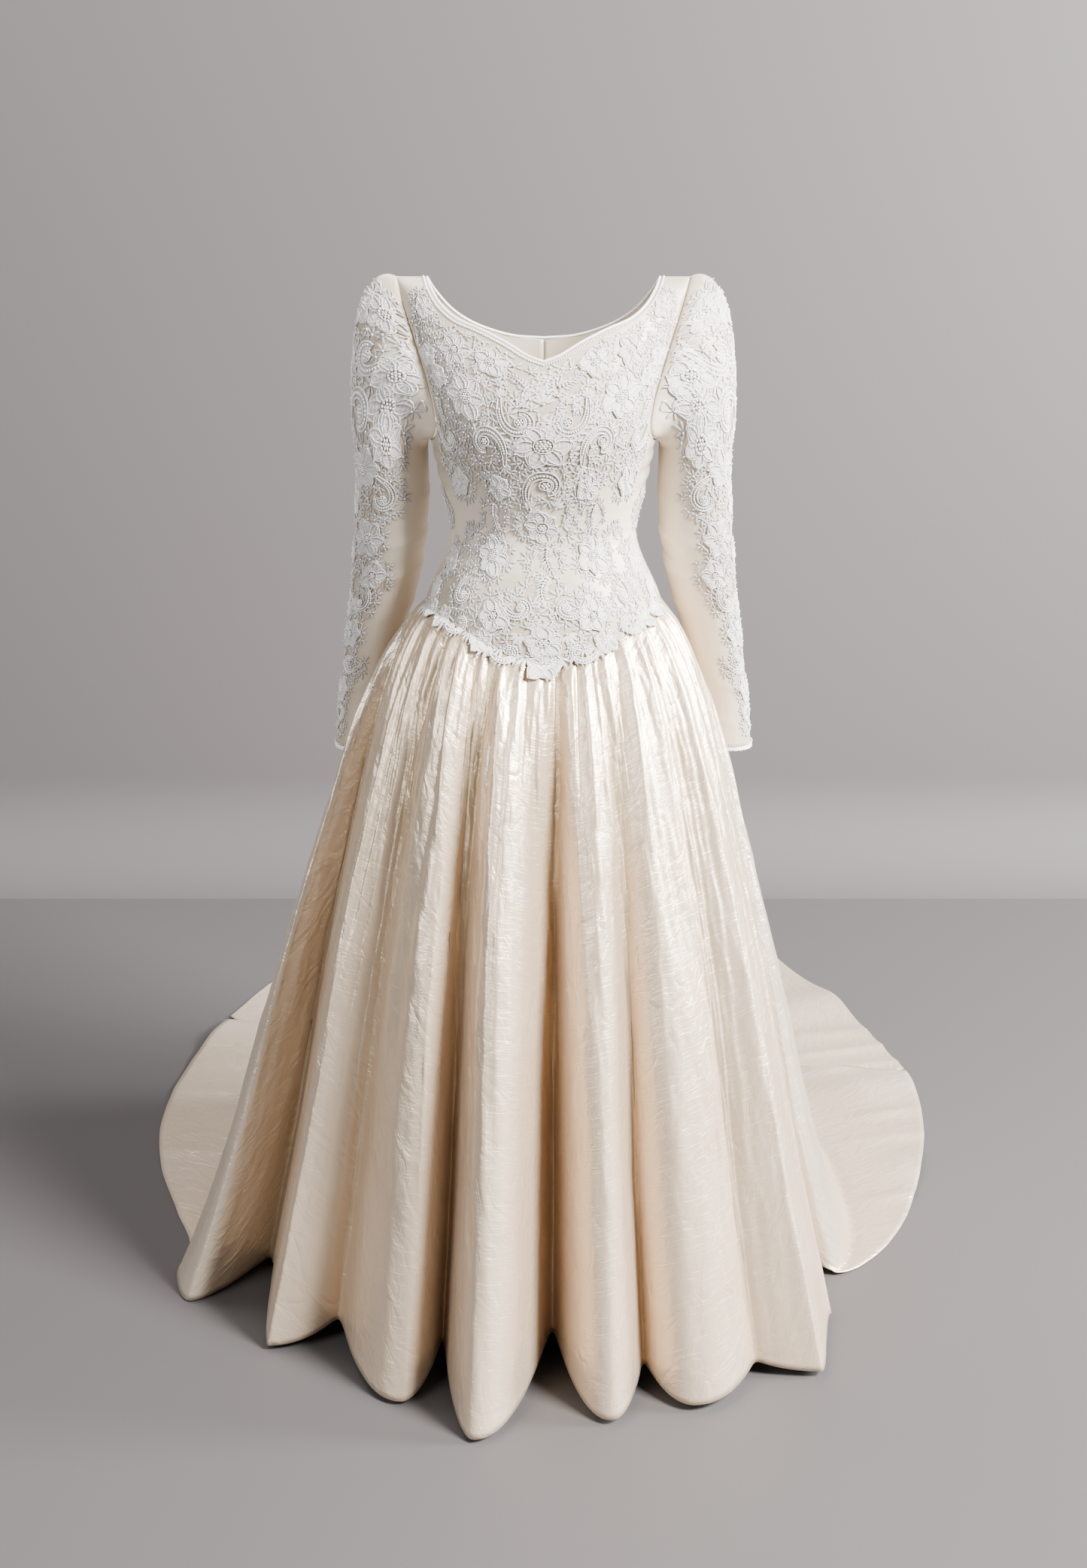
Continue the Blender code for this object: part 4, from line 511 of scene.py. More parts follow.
@dataclass
class SleeveForm:
    """The outer surface of the right sleeve; the left one is its mirror."""

    body: BodyForm
    end: float = 0.762
    around: float = 0.00088
    midline: float = 35.0
    cap_base: float = 1.190
    cap_top: float = 1.430
    cap_length: float = 0.170
    cap_low: float = 0.028
    cap_stand: float = 0.015
    cap_puff: float = 0.026
    cap_rise: float = 0.020
    cap_gathers: int = 14
    cap_gather_depth: float = 0.0015

    def __post_init__(self) -> None:
        """Make the armhole loop that the cap is sewn to: top, front, underarm, back."""
        front = self.body.point(*self.body.edge(FRONT_ARMHOLE, False, 25))
        back = self.body.point(*self.body.edge(BACK_ARMHOLE, True, 25))
        loop = np.concatenate((front, back[-2:0:-1]))
        self.centre = loop.mean(axis=0)
        self.loop = np.vstack((loop, loop[:1]))
        steps = np.linalg.norm(np.diff(self.loop, axis=0), axis=1)
        self.lengths = np.concatenate(([0.0], np.cumsum(steps)))

    def armhole(self, around: np.ndarray) -> np.ndarray:
        """Return armhole points; around 0 is the top, 90 the front, 180 the underarm."""
        at = (around % 360.0) / 360.0 * self.lengths[-1]
        return np.stack([np.interp(at, self.lengths, self.loop[:, axis]) for axis in range(3)], -1)

    def ring(self, around: np.ndarray, height: np.ndarray) -> np.ndarray:
        """Return points of the sleeve below its cap."""
        keys = [-row.height for row in SLEEVE_ROWS]
        out, back, wide, deep = (smooth_read(keys, column(SLEEVE_ROWS, name), -height)
                                 for name in ("out", "back", "half_width", "half_depth"))
        angle = np.radians(around)
        return np.stack((out + wide * np.cos(angle), back - deep * np.sin(angle), height - SHOULDER_HEIGHT), -1)

    def cap_height(self, around: np.ndarray) -> np.ndarray:
        """Return how high the cap reaches above its base line."""
        top = 0.5 + 0.5 * np.cos(np.radians(around))
        return self.cap_low + (self.cap_length - self.cap_low) * top**1.2

    def surface(self, around: np.ndarray, level: np.ndarray) -> np.ndarray:
        """Return sleeve points; level is the way up from the base line of the cap."""
        below = self.ring(around, self.cap_base + np.minimum(level, 0.0))
        share = (1.0 - np.maximum(level, 0.0) / self.cap_height(around))[..., None]
        top = (0.5 + 0.5 * np.cos(np.radians(around)))[..., None]
        start, end = self.armhole(around), self.ring(around, np.full_like(around, self.cap_base))
        inward = unit(self.centre - start)
        side, upward = np.array((1.0, 0.0, 0.0)), np.array((0.0, 0.0, 1.0))
        first = start + side * (self.cap_stand * (1.0 - 0.8 * (1.0 - top) ** 3) + self.cap_puff * top)
        first = first - inward * self.cap_rise * top
        second = end + side * self.cap_puff * 0.5 * top
        second = second + upward * (0.55 * np.maximum(start[..., 2:] - end[..., 2:], 0.0) + 0.002)
        cap = (start * (1 - share)**3 + first * 3 * share * (1 - share)**2
               + second * 3 * share**2 * (1 - share) + end * share**3)
        return np.where((level > 0.0)[..., None], cap, below)

    def normal(self, around: np.ndarray, level: np.ndarray) -> np.ndarray:
        """Return outward directions."""
        safe = np.clip(level, self.end - self.cap_base + 0.0015, self.cap_height(around) - 0.0015)
        across = self.surface(around + 1.0, safe) - self.surface(around - 1.0, safe)
        along = self.surface(around, safe + 0.001) - self.surface(around, safe - 0.001)
        return -unit(np.cross(across, along))

    def gathers(self, around: np.ndarray, level: np.ndarray) -> np.ndarray:
        """Return how far the cap's gathers stand out."""
        share = 1.0 - np.maximum(level, 0.0) / self.cap_height(around)
        angle = np.radians(around)
        strength = (0.5 + 0.5 * np.cos(angle)) * np.sin(np.pi * np.minimum(share * 1.6, 1.0))
        return self.cap_gather_depth * strength * (1.0 + np.cos(self.cap_gathers * angle + uneven(around, 3.0)))

    def creases(self, around: np.ndarray, level: np.ndarray) -> np.ndarray:
        """Return the soft creases at the bend of the elbow and above the cuff, uneven in length."""
        total = np.zeros_like(around)
        rows = ((-0.115, 150.0, 60.0, 0.0026), (-0.142, 165.0, 50.0, -0.0022), (-0.165, 140.0, 55.0, 0.0020),
                (-0.060, 160.0, 45.0, 0.0016), (-0.215, 170.0, 60.0, 0.0016), (-0.300, 150.0, 45.0, 0.0012),
                (-0.340, 60.0, 50.0, 0.0010), (-0.095, 200.0, 50.0, -0.0016), (-0.385, 120.0, 60.0, 0.0010))
        for place, turn, wide, depth in rows:
            away = (around - turn + 180.0) % 360.0 - 180.0
            slant = level - place - 0.00022 * away
            total += depth * np.exp(-((slant / 0.0075) ** 2) - (away / wide) ** 2)
        return total

    def place(self, x: np.ndarray, y: np.ndarray, lift: np.ndarray, hand: float) -> np.ndarray:
        """Return points for flat places, moved out by a lift, on the sleeve of one hand."""
        around = x / self.around
        push = lift + self.gathers(around, y) + self.creases(around, y)
        point = self.surface(around, y) + self.normal(around, y) * push[..., None]
        return point * np.array((hand, 1.0, 1.0))


def new_object(name: str, points: np.ndarray, faces: list, materials: Sequence[bpy.types.Material]) -> bpy.types.Object:
    """Make an object from points and faces, smooth shaded, with its materials."""
    mesh = bpy.data.meshes.new(name)
    mesh.from_pydata(np.asarray(points, float).tolist(), [], faces)
    for material in materials:
        mesh.materials.append(material)
    item = bpy.data.objects.new(name, mesh)
    bpy.context.scene.collection.objects.link(item)
    mesh.shade_smooth()
    return item


def grid_faces(wide: int, tall: int) -> list[tuple[int, int, int, int]]:
    """Return the faces of a grid of columns that run down, in rising turn, facing out."""
    a = (np.arange(wide - 1)[:, None] * tall + np.arange(tall - 1)).ravel()
    return np.stack((a, a + 1, a + tall + 1, a + tall), -1).tolist()


def set_uv(item: bpy.types.Object, uv: np.ndarray) -> None:
    """Give a mesh a UV map in metres from one place for each of its points."""
    layer = item.data.uv_layers.new(name="cloth")
    corner = np.empty(len(item.data.loops), dtype=np.int32)
    item.data.loops.foreach_get("vertex_index", corner)
    layer.data.foreach_set("uv", uv[corner].astype(np.float32).ravel())


def set_value(item: bpy.types.Object, name: str, values: np.ndarray) -> None:
    """Give a mesh one named number for each of its points."""
    item.data.attributes.new(name, "FLOAT", "POINT").data.foreach_set("value", values.astype(np.float32).ravel())


def only(item: bpy.types.Object) -> None:
    """Select one object alone and make it active."""
    bpy.ops.object.select_all(action="DESELECT")
    item.select_set(True)
    bpy.context.view_layer.objects.active = item


def thicken(item: bpy.types.Object, thickness: float) -> None:
    """Give a cloth surface its thickness on the inside."""
    modifier = item.modifiers.new("cloth", "SOLIDIFY")
    modifier.thickness = thickness
    modifier.offset = -1.0
    modifier.use_even_offset = False
    only(item)
    bpy.ops.object.modifier_apply(modifier=modifier.name)


def area_of(item: bpy.types.Object) -> float:
    """Return the area of an object's faces."""
    return sum(face.area for face in item.data.polygons)


class Nodes:
    """A short way to build a node tree."""

    def __init__(self, tree: bpy.types.NodeTree) -> None:
        """Keep the tree that is built."""
        self.tree = tree

    def add(self, kind: str, **inputs: object) -> bpy.types.Node:
        """Add a node and set or link its inputs.

        Args:
            kind: The node's type.
            inputs: A value or an output socket for each input; spaces are written as underscores,
                and a property of the node itself is written with a leading p_.

        Returns:
            The new node.
        """
        node = self.tree.nodes.new(kind)
        for name, value in inputs.items():
            if name.startswith("p_"):
                setattr(node, name[2:], value)
        for name, value in inputs.items():
            if name.startswith("p_"):
                continue
            socket = node.inputs[int(name[1:])] if name[0] == "i" and name[1:].isdigit() else node.inputs[name.replace("_", " ")]
            if isinstance(value, bpy.types.NodeSocket):
                self.tree.links.new(value, socket)
            else:
                socket.default_value = value
        return node

    def math(self, what: str, first: object, second: object = 0.0) -> bpy.types.NodeSocket:
        """Add a sum of two values and return its output."""
        return self.add("ShaderNodeMath", p_operation=what, i0=first, i1=second).outputs[0]

    def mix(self, share: object, first: object, second: object) -> bpy.types.NodeSocket:
        """Mix two colours and return the result."""
        node = self.add("ShaderNodeMix", p_data_type="RGBA", i0=share, i6=first, i7=second)
        return node.outputs[2]

    def group(self, tree: bpy.types.NodeTree, **inputs: object) -> bpy.types.Node:
        """Place a node group with its own values."""
        node = self.tree.nodes.new("ShaderNodeGroup")
        node.node_tree = tree
        for name, value in inputs.items():
            socket = node.inputs[name.replace("_", " ")]
            if isinstance(value, bpy.types.NodeSocket):
                self.tree.links.new(value, socket)
            else:
                socket.default_value = value
        return node


def new_group(name: str, inputs: dict[str, float | None], outputs: Sequence[str]) -> tuple[bpy.types.NodeTree, Nodes, dict]:
    """Make an empty shader node group.

    Args:
        name: The group's name.
        inputs: A default for each number, or None for a vector.
        outputs: The names of the numbers that it puts out.

    Returns:
        The group, its builder and its input sockets by name.
    """
    tree = bpy.data.node_groups.new(name, "ShaderNodeTree")
    for key, value in inputs.items():
        kind = "NodeSocketVector" if value is None else "NodeSocketFloat"
        socket = tree.interface.new_socket(name=key, in_out="INPUT", socket_type=kind)
        if value is not None:
            socket.default_value = value
    for key in outputs:
        tree.interface.new_socket(name=key, in_out="OUTPUT", socket_type="NodeSocketFloat")
    source = tree.nodes.new("NodeGroupInput")
    return tree, Nodes(tree), {key: source.outputs[key] for key in inputs}


def put_out(tree: bpy.types.NodeTree, values: dict[str, bpy.types.NodeSocket]) -> None:
    """Link values to a group's outputs."""
    sink = tree.nodes.new("NodeGroupOutput")
    for key, value in values.items():
        tree.links.new(value, sink.inputs[key])


def slub_weave() -> bpy.types.NodeTree:
    """Make the group for a slubbed weave: fine threads, thicker slubs along them and soft crinkles."""
    tree, nodes, given = new_group(
        "slub_weave", {"Vector": None, "Slub": 1.0, "Crinkle": 1.0}, ("Height", "Slubs", "Cloud"))
    fine = nodes.add("ShaderNodeMapping", Vector=given["Vector"], Scale=(45.0, 900.0, 1.0))
    slub = nodes.add("ShaderNodeMapping", Vector=given["Vector"], Scale=(26.0, 420.0, 1.0))
    warp = nodes.add("ShaderNodeMapping", Vector=given["Vector"], Scale=(1100.0, 60.0, 1.0))
    thread = nodes.add("ShaderNodeTexNoise", Vector=fine.outputs[0], Scale=1.0, Detail=2.0)
    thick = nodes.add("ShaderNodeTexNoise", Vector=slub.outputs[0], Scale=1.0, Detail=1.0)
    long = nodes.add("ShaderNodeTexNoise", Vector=warp.outputs[0], Scale=1.0, Detail=1.0)
    crease = nodes.add("ShaderNodeMapping", Vector=given["Vector"], Rotation=(0.0, 0.0, 0.6), Scale=(30.0, 17.0, 1.0))
    bend = nodes.add("ShaderNodeTexNoise", Vector=crease.outputs[0], Scale=1.0, Detail=5.0, Distortion=0.7)
    cloud = nodes.add("ShaderNodeTexNoise", Vector=given["Vector"], Scale=7.0, Detail=3.0)
    slubs = nodes.add("ShaderNodeMapRange", Value=thick.outputs[0], From_Min=0.56, From_Max=0.72)
    ridge = nodes.math("ABSOLUTE", nodes.math("SUBTRACT", bend.outputs[0], 0.5))
    ridge = nodes.math("MULTIPLY", nodes.math("POWER", ridge, 0.8), given["Crinkle"])
    lift = nodes.math("MULTIPLY", slubs.outputs[0], given["Slub"])
    weave = nodes.math("ADD", nodes.math("MULTIPLY", thread.outputs[0], 0.22), nodes.math("MULTIPLY", long.outputs[0], 0.10))
    total = nodes.math("ADD", nodes.math("ADD", weave, nodes.math("MULTIPLY", lift, 0.35)), nodes.math("MULTIPLY", ridge, 2.6))
    put_out(tree, {"Height": total, "Slubs": slubs.outputs[0], "Cloud": cloud.outputs[0]})
    return tree


def thread_work() -> bpy.types.NodeTree:
    """Make the group for embroidery thread: short fine ridges that wander."""
    tree, nodes, given = new_group("thread_work", {"Vector": None, "Fineness": 420.0}, ("Height", "Shade"))
    wave = nodes.add("ShaderNodeTexWave", Vector=given["Vector"], Scale=given["Fineness"], Distortion=7.0,
                     Detail=1.0, Detail_Scale=1.4)
    rough = nodes.add("ShaderNodeTexNoise", Vector=given["Vector"], Scale=900.0, Detail=2.0)
    shade = nodes.add("ShaderNodeTexNoise", Vector=given["Vector"], Scale=60.0, Detail=2.0)
    height = nodes.math("ADD", wave.outputs[1], nodes.math("MULTIPLY", rough.outputs[0], 0.5))
    put_out(tree, {"Height": height, "Shade": shade.outputs[0]})
    return tree


@dataclass(frozen=True)
class SatinFinish:
    """A dull-sheened slubbed satin."""

    name: str
    light: tuple[float, float, float]
    # deep is the painted shade colour, mixed in where the shade attribute is high: fold valleys and under the lace.
    deep: tuple[float, float, float]
    roughness: float = 0.34
    sheen: float = 0.12
    slub: float = 1.0
    crinkle: float = 1.0
    bump: float = 0.30
    reach: float = 0.0011
    lustre: float = 0.0

    def build(self, weave: bpy.types.NodeTree) -> bpy.types.Material:
        """Return the material, which reads the cloth's UV map and its shade attribute, the painted shade that mixes the
        light colour toward the deep colour.
        """
        material = bpy.data.materials.new(self.name)
        material.use_nodes = True
        nodes = Nodes(material.node_tree)
        shader = material.node_tree.nodes["Principled BSDF"]
        uv = nodes.add("ShaderNodeUVMap", p_uv_map="cloth")
        shade = nodes.add("ShaderNodeAttribute", p_attribute_name="shade")
        cloth = nodes.group(weave, Vector=uv.outputs[0], Slub=self.slub, Crinkle=self.crinkle)
        # Painted shade: the shade attribute mixes the light colour toward the deep colour.
        base = nodes.mix(shade.outputs["Fac"], (*self.light, 1.0), (*self.deep, 1.0))
        pale = tuple(min(value * 1.06, 1.0) for value in self.light)
        base = nodes.mix(nodes.math("MULTIPLY", cloth.outputs["Slubs"], 0.25), base, (*pale, 1.0))
        dull = tuple(value * 0.93 for value in self.deep)
        cloudy = nodes.add("ShaderNodeMapRange", Value=cloth.outputs["Cloud"], From_Min=0.40, From_Max=0.75,
                           To_Min=0.0, To_Max=0.22)
        base = nodes.mix(cloudy.outputs[0], base, (*dull, 1.0))
        rough = nodes.add("ShaderNodeMapRange", Value=cloth.outputs["Slubs"], From_Min=0.0, From_Max=1.0,
                          To_Min=self.roughness, To_Max=self.roughness + 0.12)
        bump = nodes.add("ShaderNodeBump", Height=cloth.outputs["Height"], Strength=self.bump, Distance=self.reach)
        material.node_tree.links.new(base, shader.inputs["Base Color"])
        material.node_tree.links.new(rough.outputs[0], shader.inputs["Roughness"])
        material.node_tree.links.new(bump.outputs[0], shader.inputs["Normal"])
        shader.inputs["Metallic"].default_value = self.lustre
        shader.inputs["Sheen Weight"].default_value = self.sheen
        shader.inputs["Sheen Roughness"].default_value = 0.35
        shader.inputs["Specular IOR Level"].default_value = 0.55
        return material


@dataclass(frozen=True)
class LaceFinish:
    """White cord and thread of the lace, with painted shade in its low places and grooves."""

    name: str
    white: tuple[float, float, float] = (0.83, 0.815, 0.80)
    shadow: tuple[float, float, float] = (0.23, 0.18, 0.135)
    roughness: float = 0.40
    bump: float = 0.45

    def build(self, thread: bpy.types.NodeTree) -> bpy.types.Material:
        """Return the material."""
        material = bpy.data.materials.new(self.name)
        material.use_nodes = True
        nodes = Nodes(material.node_tree)
        shader = material.node_tree.nodes["Principled BSDF"]
        place = nodes.add("ShaderNodeTexCoord")
        work = nodes.group(thread, Vector=place.outputs["Object"])
        low = nodes.add("ShaderNodeAttribute", p_attribute_name="shade")
        # Painted shade: thread grooves and low places (shade attribute) are mixed toward the shadow colour.
        groove_painted_shade = nodes.add("ShaderNodeMapRange", Value=work.outputs["Height"], From_Min=0.1, From_Max=0.7,
                        To_Min=0.25, To_Max=0.0)
        depth = nodes.math("ADD", nodes.math("MULTIPLY", low.outputs["Fac"], 0.9), groove_painted_shade.outputs[0])
        base = nodes.mix(depth, (*self.white, 1.0), (*self.shadow, 1.0))
        bump = nodes.add("ShaderNodeBump", Height=work.outputs["Height"], Strength=self.bump, Distance=0.0005)
        rough = nodes.add("ShaderNodeMapRange", Value=work.outputs["Shade"], From_Min=0.3, From_Max=0.7,
                          To_Min=self.roughness - 0.08, To_Max=self.roughness + 0.08)
        material.node_tree.links.new(base, shader.inputs["Base Color"])
        material.node_tree.links.new(rough.outputs[0], shader.inputs["Roughness"])
        material.node_tree.links.new(bump.outputs[0], shader.inputs["Normal"])
        shader.inputs["Sheen Weight"].default_value = 0.2
        return material


@dataclass(frozen=True)
class PearlFinish:
    """Small glass pearls, slightly uneven in colour, with painted shade on their low sides."""

    name: str
    white: tuple[float, float, float] = (0.88, 0.87, 0.87)
    warm: tuple[float, float, float] = (0.80, 0.76, 0.71)
    # under is the painted shade colour of the pearls' low sides.
    under: tuple[float, float, float] = (0.36, 0.30, 0.24)

    def build(self) -> bpy.types.Material:
        """Return the material."""
        material = bpy.data.materials.new(self.name)
        material.use_nodes = True
        nodes = Nodes(material.node_tree)
        shader = material.node_tree.nodes["Principled BSDF"]
        place = nodes.add("ShaderNodeTexCoord")
        patch = nodes.add("ShaderNodeTexNoise", Vector=place.outputs["Object"], Scale=230.0, Detail=0.0)
        rim = nodes.add("ShaderNodeMapRange", Value=patch.outputs[0], From_Min=0.38, From_Max=0.62)
        base = nodes.mix(rim.outputs[0], (*self.white, 1.0), (*self.warm, 1.0))
        # Painted shade: the low side of each pearl is mixed toward the under colour.
        low = nodes.add("ShaderNodeAttribute", p_attribute_name="shade")
        base = nodes.mix(low.outputs["Fac"], base, (*self.under, 1.0))
        rough = nodes.add("ShaderNodeMapRange", Value=patch.outputs[0], To_Min=0.22, To_Max=0.36)
        material.node_tree.links.new(base, shader.inputs["Base Color"])
        material.node_tree.links.new(rough.outputs[0], shader.inputs["Roughness"])
        shader.inputs["Coat Weight"].default_value = 0.3
        shader.inputs["Coat Roughness"].default_value = 0.12
        return material


@dataclass
class LaceWork:
    """Corded lace drawn flat, to be laid on a surface. Each point has a flat place and a lift.

    Attributes:
        keep: Tells which flat places lie inside the lace's own panel.
        ground: How far the lace's foot stands off the cloth.
    """

    keep: Callable[[np.ndarray, np.ndarray], np.ndarray]
    ground: float = 0.0002
    cord_width: float = 0.0021
    cord_rise: float = 0.0021
    pearl_radius: float = 0.0014
    pearl_step: float = 0.0031
    leaf_ratio: float = 0.34
    curl: float = 1.55
    scroll_length: float = 3.9
    points: list[np.ndarray] = field(default_factory=list)
    faces: list[tuple[int, ...]] = field(default_factory=list)
    kinds: list[int] = field(default_factory=list)
    taken: list[tuple[float, float, float]] = field(default_factory=list)
    total: int = 0

    def add(self, flat: np.ndarray, lift: np.ndarray, faces: Sequence[Sequence[int]], pearl: bool = False) -> None:
        """Add points and faces if every point lies inside the panel."""
        if not np.all(self.keep(flat[:, 0], flat[:, 1])):
            return
        self.points.append(np.column_stack((flat, lift + self.ground)))
        self.faces.extend(tuple(corner + self.total for corner in face) for face in faces)
        self.kinds.extend([int(pearl)] * len(faces))
        self.total += len(flat)

    def cord(self, line: np.ndarray, width: float = 0.0, rise: float = 0.0, closed: bool = False) -> None:
        """Lay a cord along a line, in the stretches that lie inside the panel."""
        width, rise = width or self.cord_width, rise or self.cord_rise
        if closed:
            line = np.vstack((line, line[:2]))
        inside = self.keep(line[:, 0], line[:, 1])
        breaks = np.flatnonzero(np.diff(inside.astype(int))) + 1
        for run, kept in zip(np.split(line, breaks), np.split(inside, breaks)):
            if len(run) < 3 or not kept[0]:
                continue
            across = np.gradient(run, axis=0)
            across = unit(np.column_stack((-across[:, 1], across[:, 0]))) * width * 0.5
            flat = np.stack((run - across, run - across * 0.35, run + across * 0.35, run + across), 1)
            lift = np.tile((0.0, rise, rise, 0.0), len(run))
            faces = [(row * 4 + side, row * 4 + side + 1, row * 4 + side + 5, row * 4 + side + 4)
                     for row in range(len(run) - 1) for side in range(3)]
            self.add(flat.reshape(-1, 2), lift, faces)

    def leaf(self, root: np.ndarray, tip: np.ndarray, rise: float = 0.0017) -> None:
        """Lay one small pointed leaf with a raised rib."""
        way = tip - root
        across = np.array((-way[1], way[0])) * self.leaf_ratio * 0.5
        low, high = root + way * 0.28, root + way * 0.62
        flat = np.array((root, low - across * 0.85, low, low + across * 0.85,
                         high - across, high, high + across, tip))
        lift = np.array((0.8, 0.35, 1.0, 0.35, 0.30, 1.0, 0.30, 0.45)) * rise
        self.add(flat, lift, [(0, 2, 1), (0, 3, 2), (1, 2, 5, 4), (2, 3, 6, 5), (4, 5, 7), (5, 6, 7)])

    def pearl(self, place: np.ndarray, radius: float = 0.0, base: float = 0.0) -> None:
        """Set one pearl, a base height above the lace's foot."""
        radius = radius or self.pearl_radius
        angles = np.arange(6) * math.pi / 3.0
        ring = np.column_stack((np.cos(angles), np.sin(angles)))
        flat = np.vstack((place + ring * radius * 0.8, place + ring * radius, place + ring * radius * 0.66, [place]))
        lift = np.concatenate((np.full(6, 0.15), np.full(6, 0.9), np.full(6, 1.65), [1.95])) * radius + base
        faces = []
        for index in range(6):
            after = (index + 1) % 6
            faces += [(index, after, after + 6, index + 6), (index + 6, after + 6, after + 12, index + 12),
                      (index + 12, after + 12, 18)]
        self.add(flat, lift, faces, True)

    def pearls(self, line: np.ndarray, radius: float = 0.0, base: float = 0.0) -> None:
        """Set pearls along a line, evenly."""
        lengths = np.concatenate(([0.0], np.cumsum(np.linalg.norm(np.diff(line, axis=0), axis=1))))
        count = max(int(lengths[-1] / self.pearl_step), 1)
        for at in (np.arange(count) + 0.5) * lengths[-1] / count:
            self.pearl(np.array([np.interp(at, lengths, line[:, axis]) for axis in range(2)]), radius, base)

    def cluster(self, place: np.ndarray, reach: float) -> None:
        """Set a corded bud full of pearls."""
        self.ring(place, reach)
        self.pearl(place, self.pearl_radius * 1.1, 0.0006)
        for ring in range(1, int((reach - self.cord_width * 0.5) / self.pearl_step) + 1):
            count = 6 * ring
            for index in range(count):
                angle = 2.0 * math.pi * index / count + ring
                away = self.pearl_step * ring * np.array((math.cos(angle), math.sin(angle)))
                self.pearl(place + away, 0.0, 0.0005)

    def ring(self, place: np.ndarray, reach: float) -> None:
        """Lay a closed round cord."""
        steps = max(int(reach * 900.0), 10)
        angle = np.arange(steps) * 2.0 * math.pi / steps
        self.cord(place + np.column_stack((np.cos(angle), np.sin(angle))) * reach, closed=True)

    def band(self, line: np.ndarray, across: np.ndarray, half: np.ndarray, lifts: Sequence[float]) -> None:
        """Fill a band with stitched thread, ridged along its length.

        Args:
            line: The band's middle line.
            across: The unit direction across it at each place.
            half: Half its width at each place.
            lifts: The lift of each lengthwise thread from one edge to the other.
        """
        sides = np.linspace(-1.0, 1.0, len(lifts))
        wide = len(lifts)
        for start in range(0, len(line) - 1, 2):
            stretch = slice(start, start + 3)
            flat = line[stretch, None] + across[stretch, None] * (half[stretch, None] * sides)[..., None]
            rows = flat.shape[0]
            wave = np.array([0.00022 * (-1.0) ** (start + row) for row in range(rows)])
            lift = (np.asarray(lifts)[None, :] + wave[:, None]).ravel()
            faces = [(row * wide + side, row * wide + side + 1, (row + 1) * wide + side + 1, (row + 1) * wide + side)
                     for row in range(rows - 1) for side in range(wide - 1)]
            self.add(flat.reshape(-1, 2), lift, faces)

    def petal(self, centre: np.ndarray, way: float, size: float, spread: float) -> None:
        """Draw one petal: ridged thread inside a cord."""
        share = np.linspace(0.0, 1.0, 8)
        along = np.array((math.cos(way), math.sin(way)))
        across = np.array((-along[1], along[0]))
        bend = 0.10 * size * share**2
        line = centre + along * ((0.34 + 0.60 * share) * size)[:, None] + across * bend[:, None]
        half = size * spread * np.sin(np.pi * (0.20 + 0.68 * share)) ** 0.75
        self.band(line, np.tile(across, (8, 1)), half, (0.0005, 0.0015, 0.0009, 0.0017, 0.0009, 0.0015, 0.0005))
        tip = line[-1] + along * half[-1] * 0.75
        left, right = line + across * half[:, None], line - across * half[:, None]
        self.cord(np.vstack((left, [tip], right[::-1])), self.cord_width * 0.9)
        self.cord(np.vstack((line + across * half[:, None] * 0.52, [line[-1] + along * half[-1] * 0.25],
                             (line - across * half[:, None] * 0.52)[::-1])), self.cord_width * 0.7, 0.0023)

    def rose(self, centre: np.ndarray, size: float, turn: float) -> None:
        """Draw a rose: ridged petals in cord round a pearled heart."""
        petals = 6 if size > 0.020 else 5
        self.taken.append((*centre, size * 0.90))
        for index in range(petals):
            way = math.radians(turn) + index * 2.0 * math.pi / petals
            reach = size * (1.0 + 0.09 * math.sin(index * 2.4 + turn))
            self.petal(centre, way, reach, 0.70 * math.tan(math.pi / petals))
        self.cluster(centre, max(size * 0.33, 0.0050))

    def scroll(self, centre: np.ndarray, size: float, turn: float, hand: float) -> None:
        """Draw a scroll: a pearled band that curls out of a bud and runs off in a tail, leaves along its back."""
        steps = 41
        share = np.linspace(0.0, 1.0, steps)
        heading = math.radians(turn) - self.curl * math.pi * (1.0 - share) ** 2
        pace = size * self.scroll_length / (steps - 1)
        start = np.array((math.sin(heading[0]), -math.cos(heading[0]))) * size * 0.45
        ways = np.column_stack((np.cos(heading), np.sin(heading))) * pace
        line = (start + np.vstack(((0.0, 0.0), np.cumsum(ways[:-1], axis=0)))) * (hand, 1.0) + centre
        half = size * 0.16 * np.sin(np.pi * (0.18 + 0.74 * share)) + 0.0007
        along = unit(np.gradient(line, axis=0))
        across = np.column_stack((along[:, 1], -along[:, 0])) * hand
        self.band(line, across, half, (0.0004, 0.0007, 0.0004))
        outer, inner = line + across * half[:, None], line - across * half[:, None]
        self.cord(outer)
        self.cord(inner)
        self.pearls(line[2:-6], 0.0, 0.0004)
        self.cluster(centre, size * 0.25)
        for index in range(int(steps * 0.22), steps - 1, 3):
            way = across[index] * 0.80 + along[index] * 0.65
            length = size * (0.34 + 0.07 * math.sin(index * 1.7))
            self.leaf(outer[index], outer[index] + way * length)
        self.taken += [(*line[index], half[index] + size * 0.12) for index in range(0, steps, 5)]
        self.taken.append((*centre, size * 0.4))
        self.fan(line[-1], size * 0.55, math.degrees(math.atan2(along[-1][1], along[-1][0])), 1.0)

    def fan(self, centre: np.ndarray, size: float, turn: float, hand: float, spread: float = 115.0) -> None:
        """Draw a spray of pointed leaves from one root with a pearl on it."""
        count = 5
        self.taken.append((*centre, size * 0.5))
        for index in range(count):
            lean = (index / (count - 1) - 0.5) * spread
            way = math.radians(turn + lean)
            length = size * (1.0 - 0.22 * abs(lean) / spread * 2.0)
            direction = np.array((hand * math.cos(way), math.sin(way)))
            self.leaf(centre + direction * size * 0.10, centre + direction * length)
        self.pearl(centre, 0.0, 0.0006)

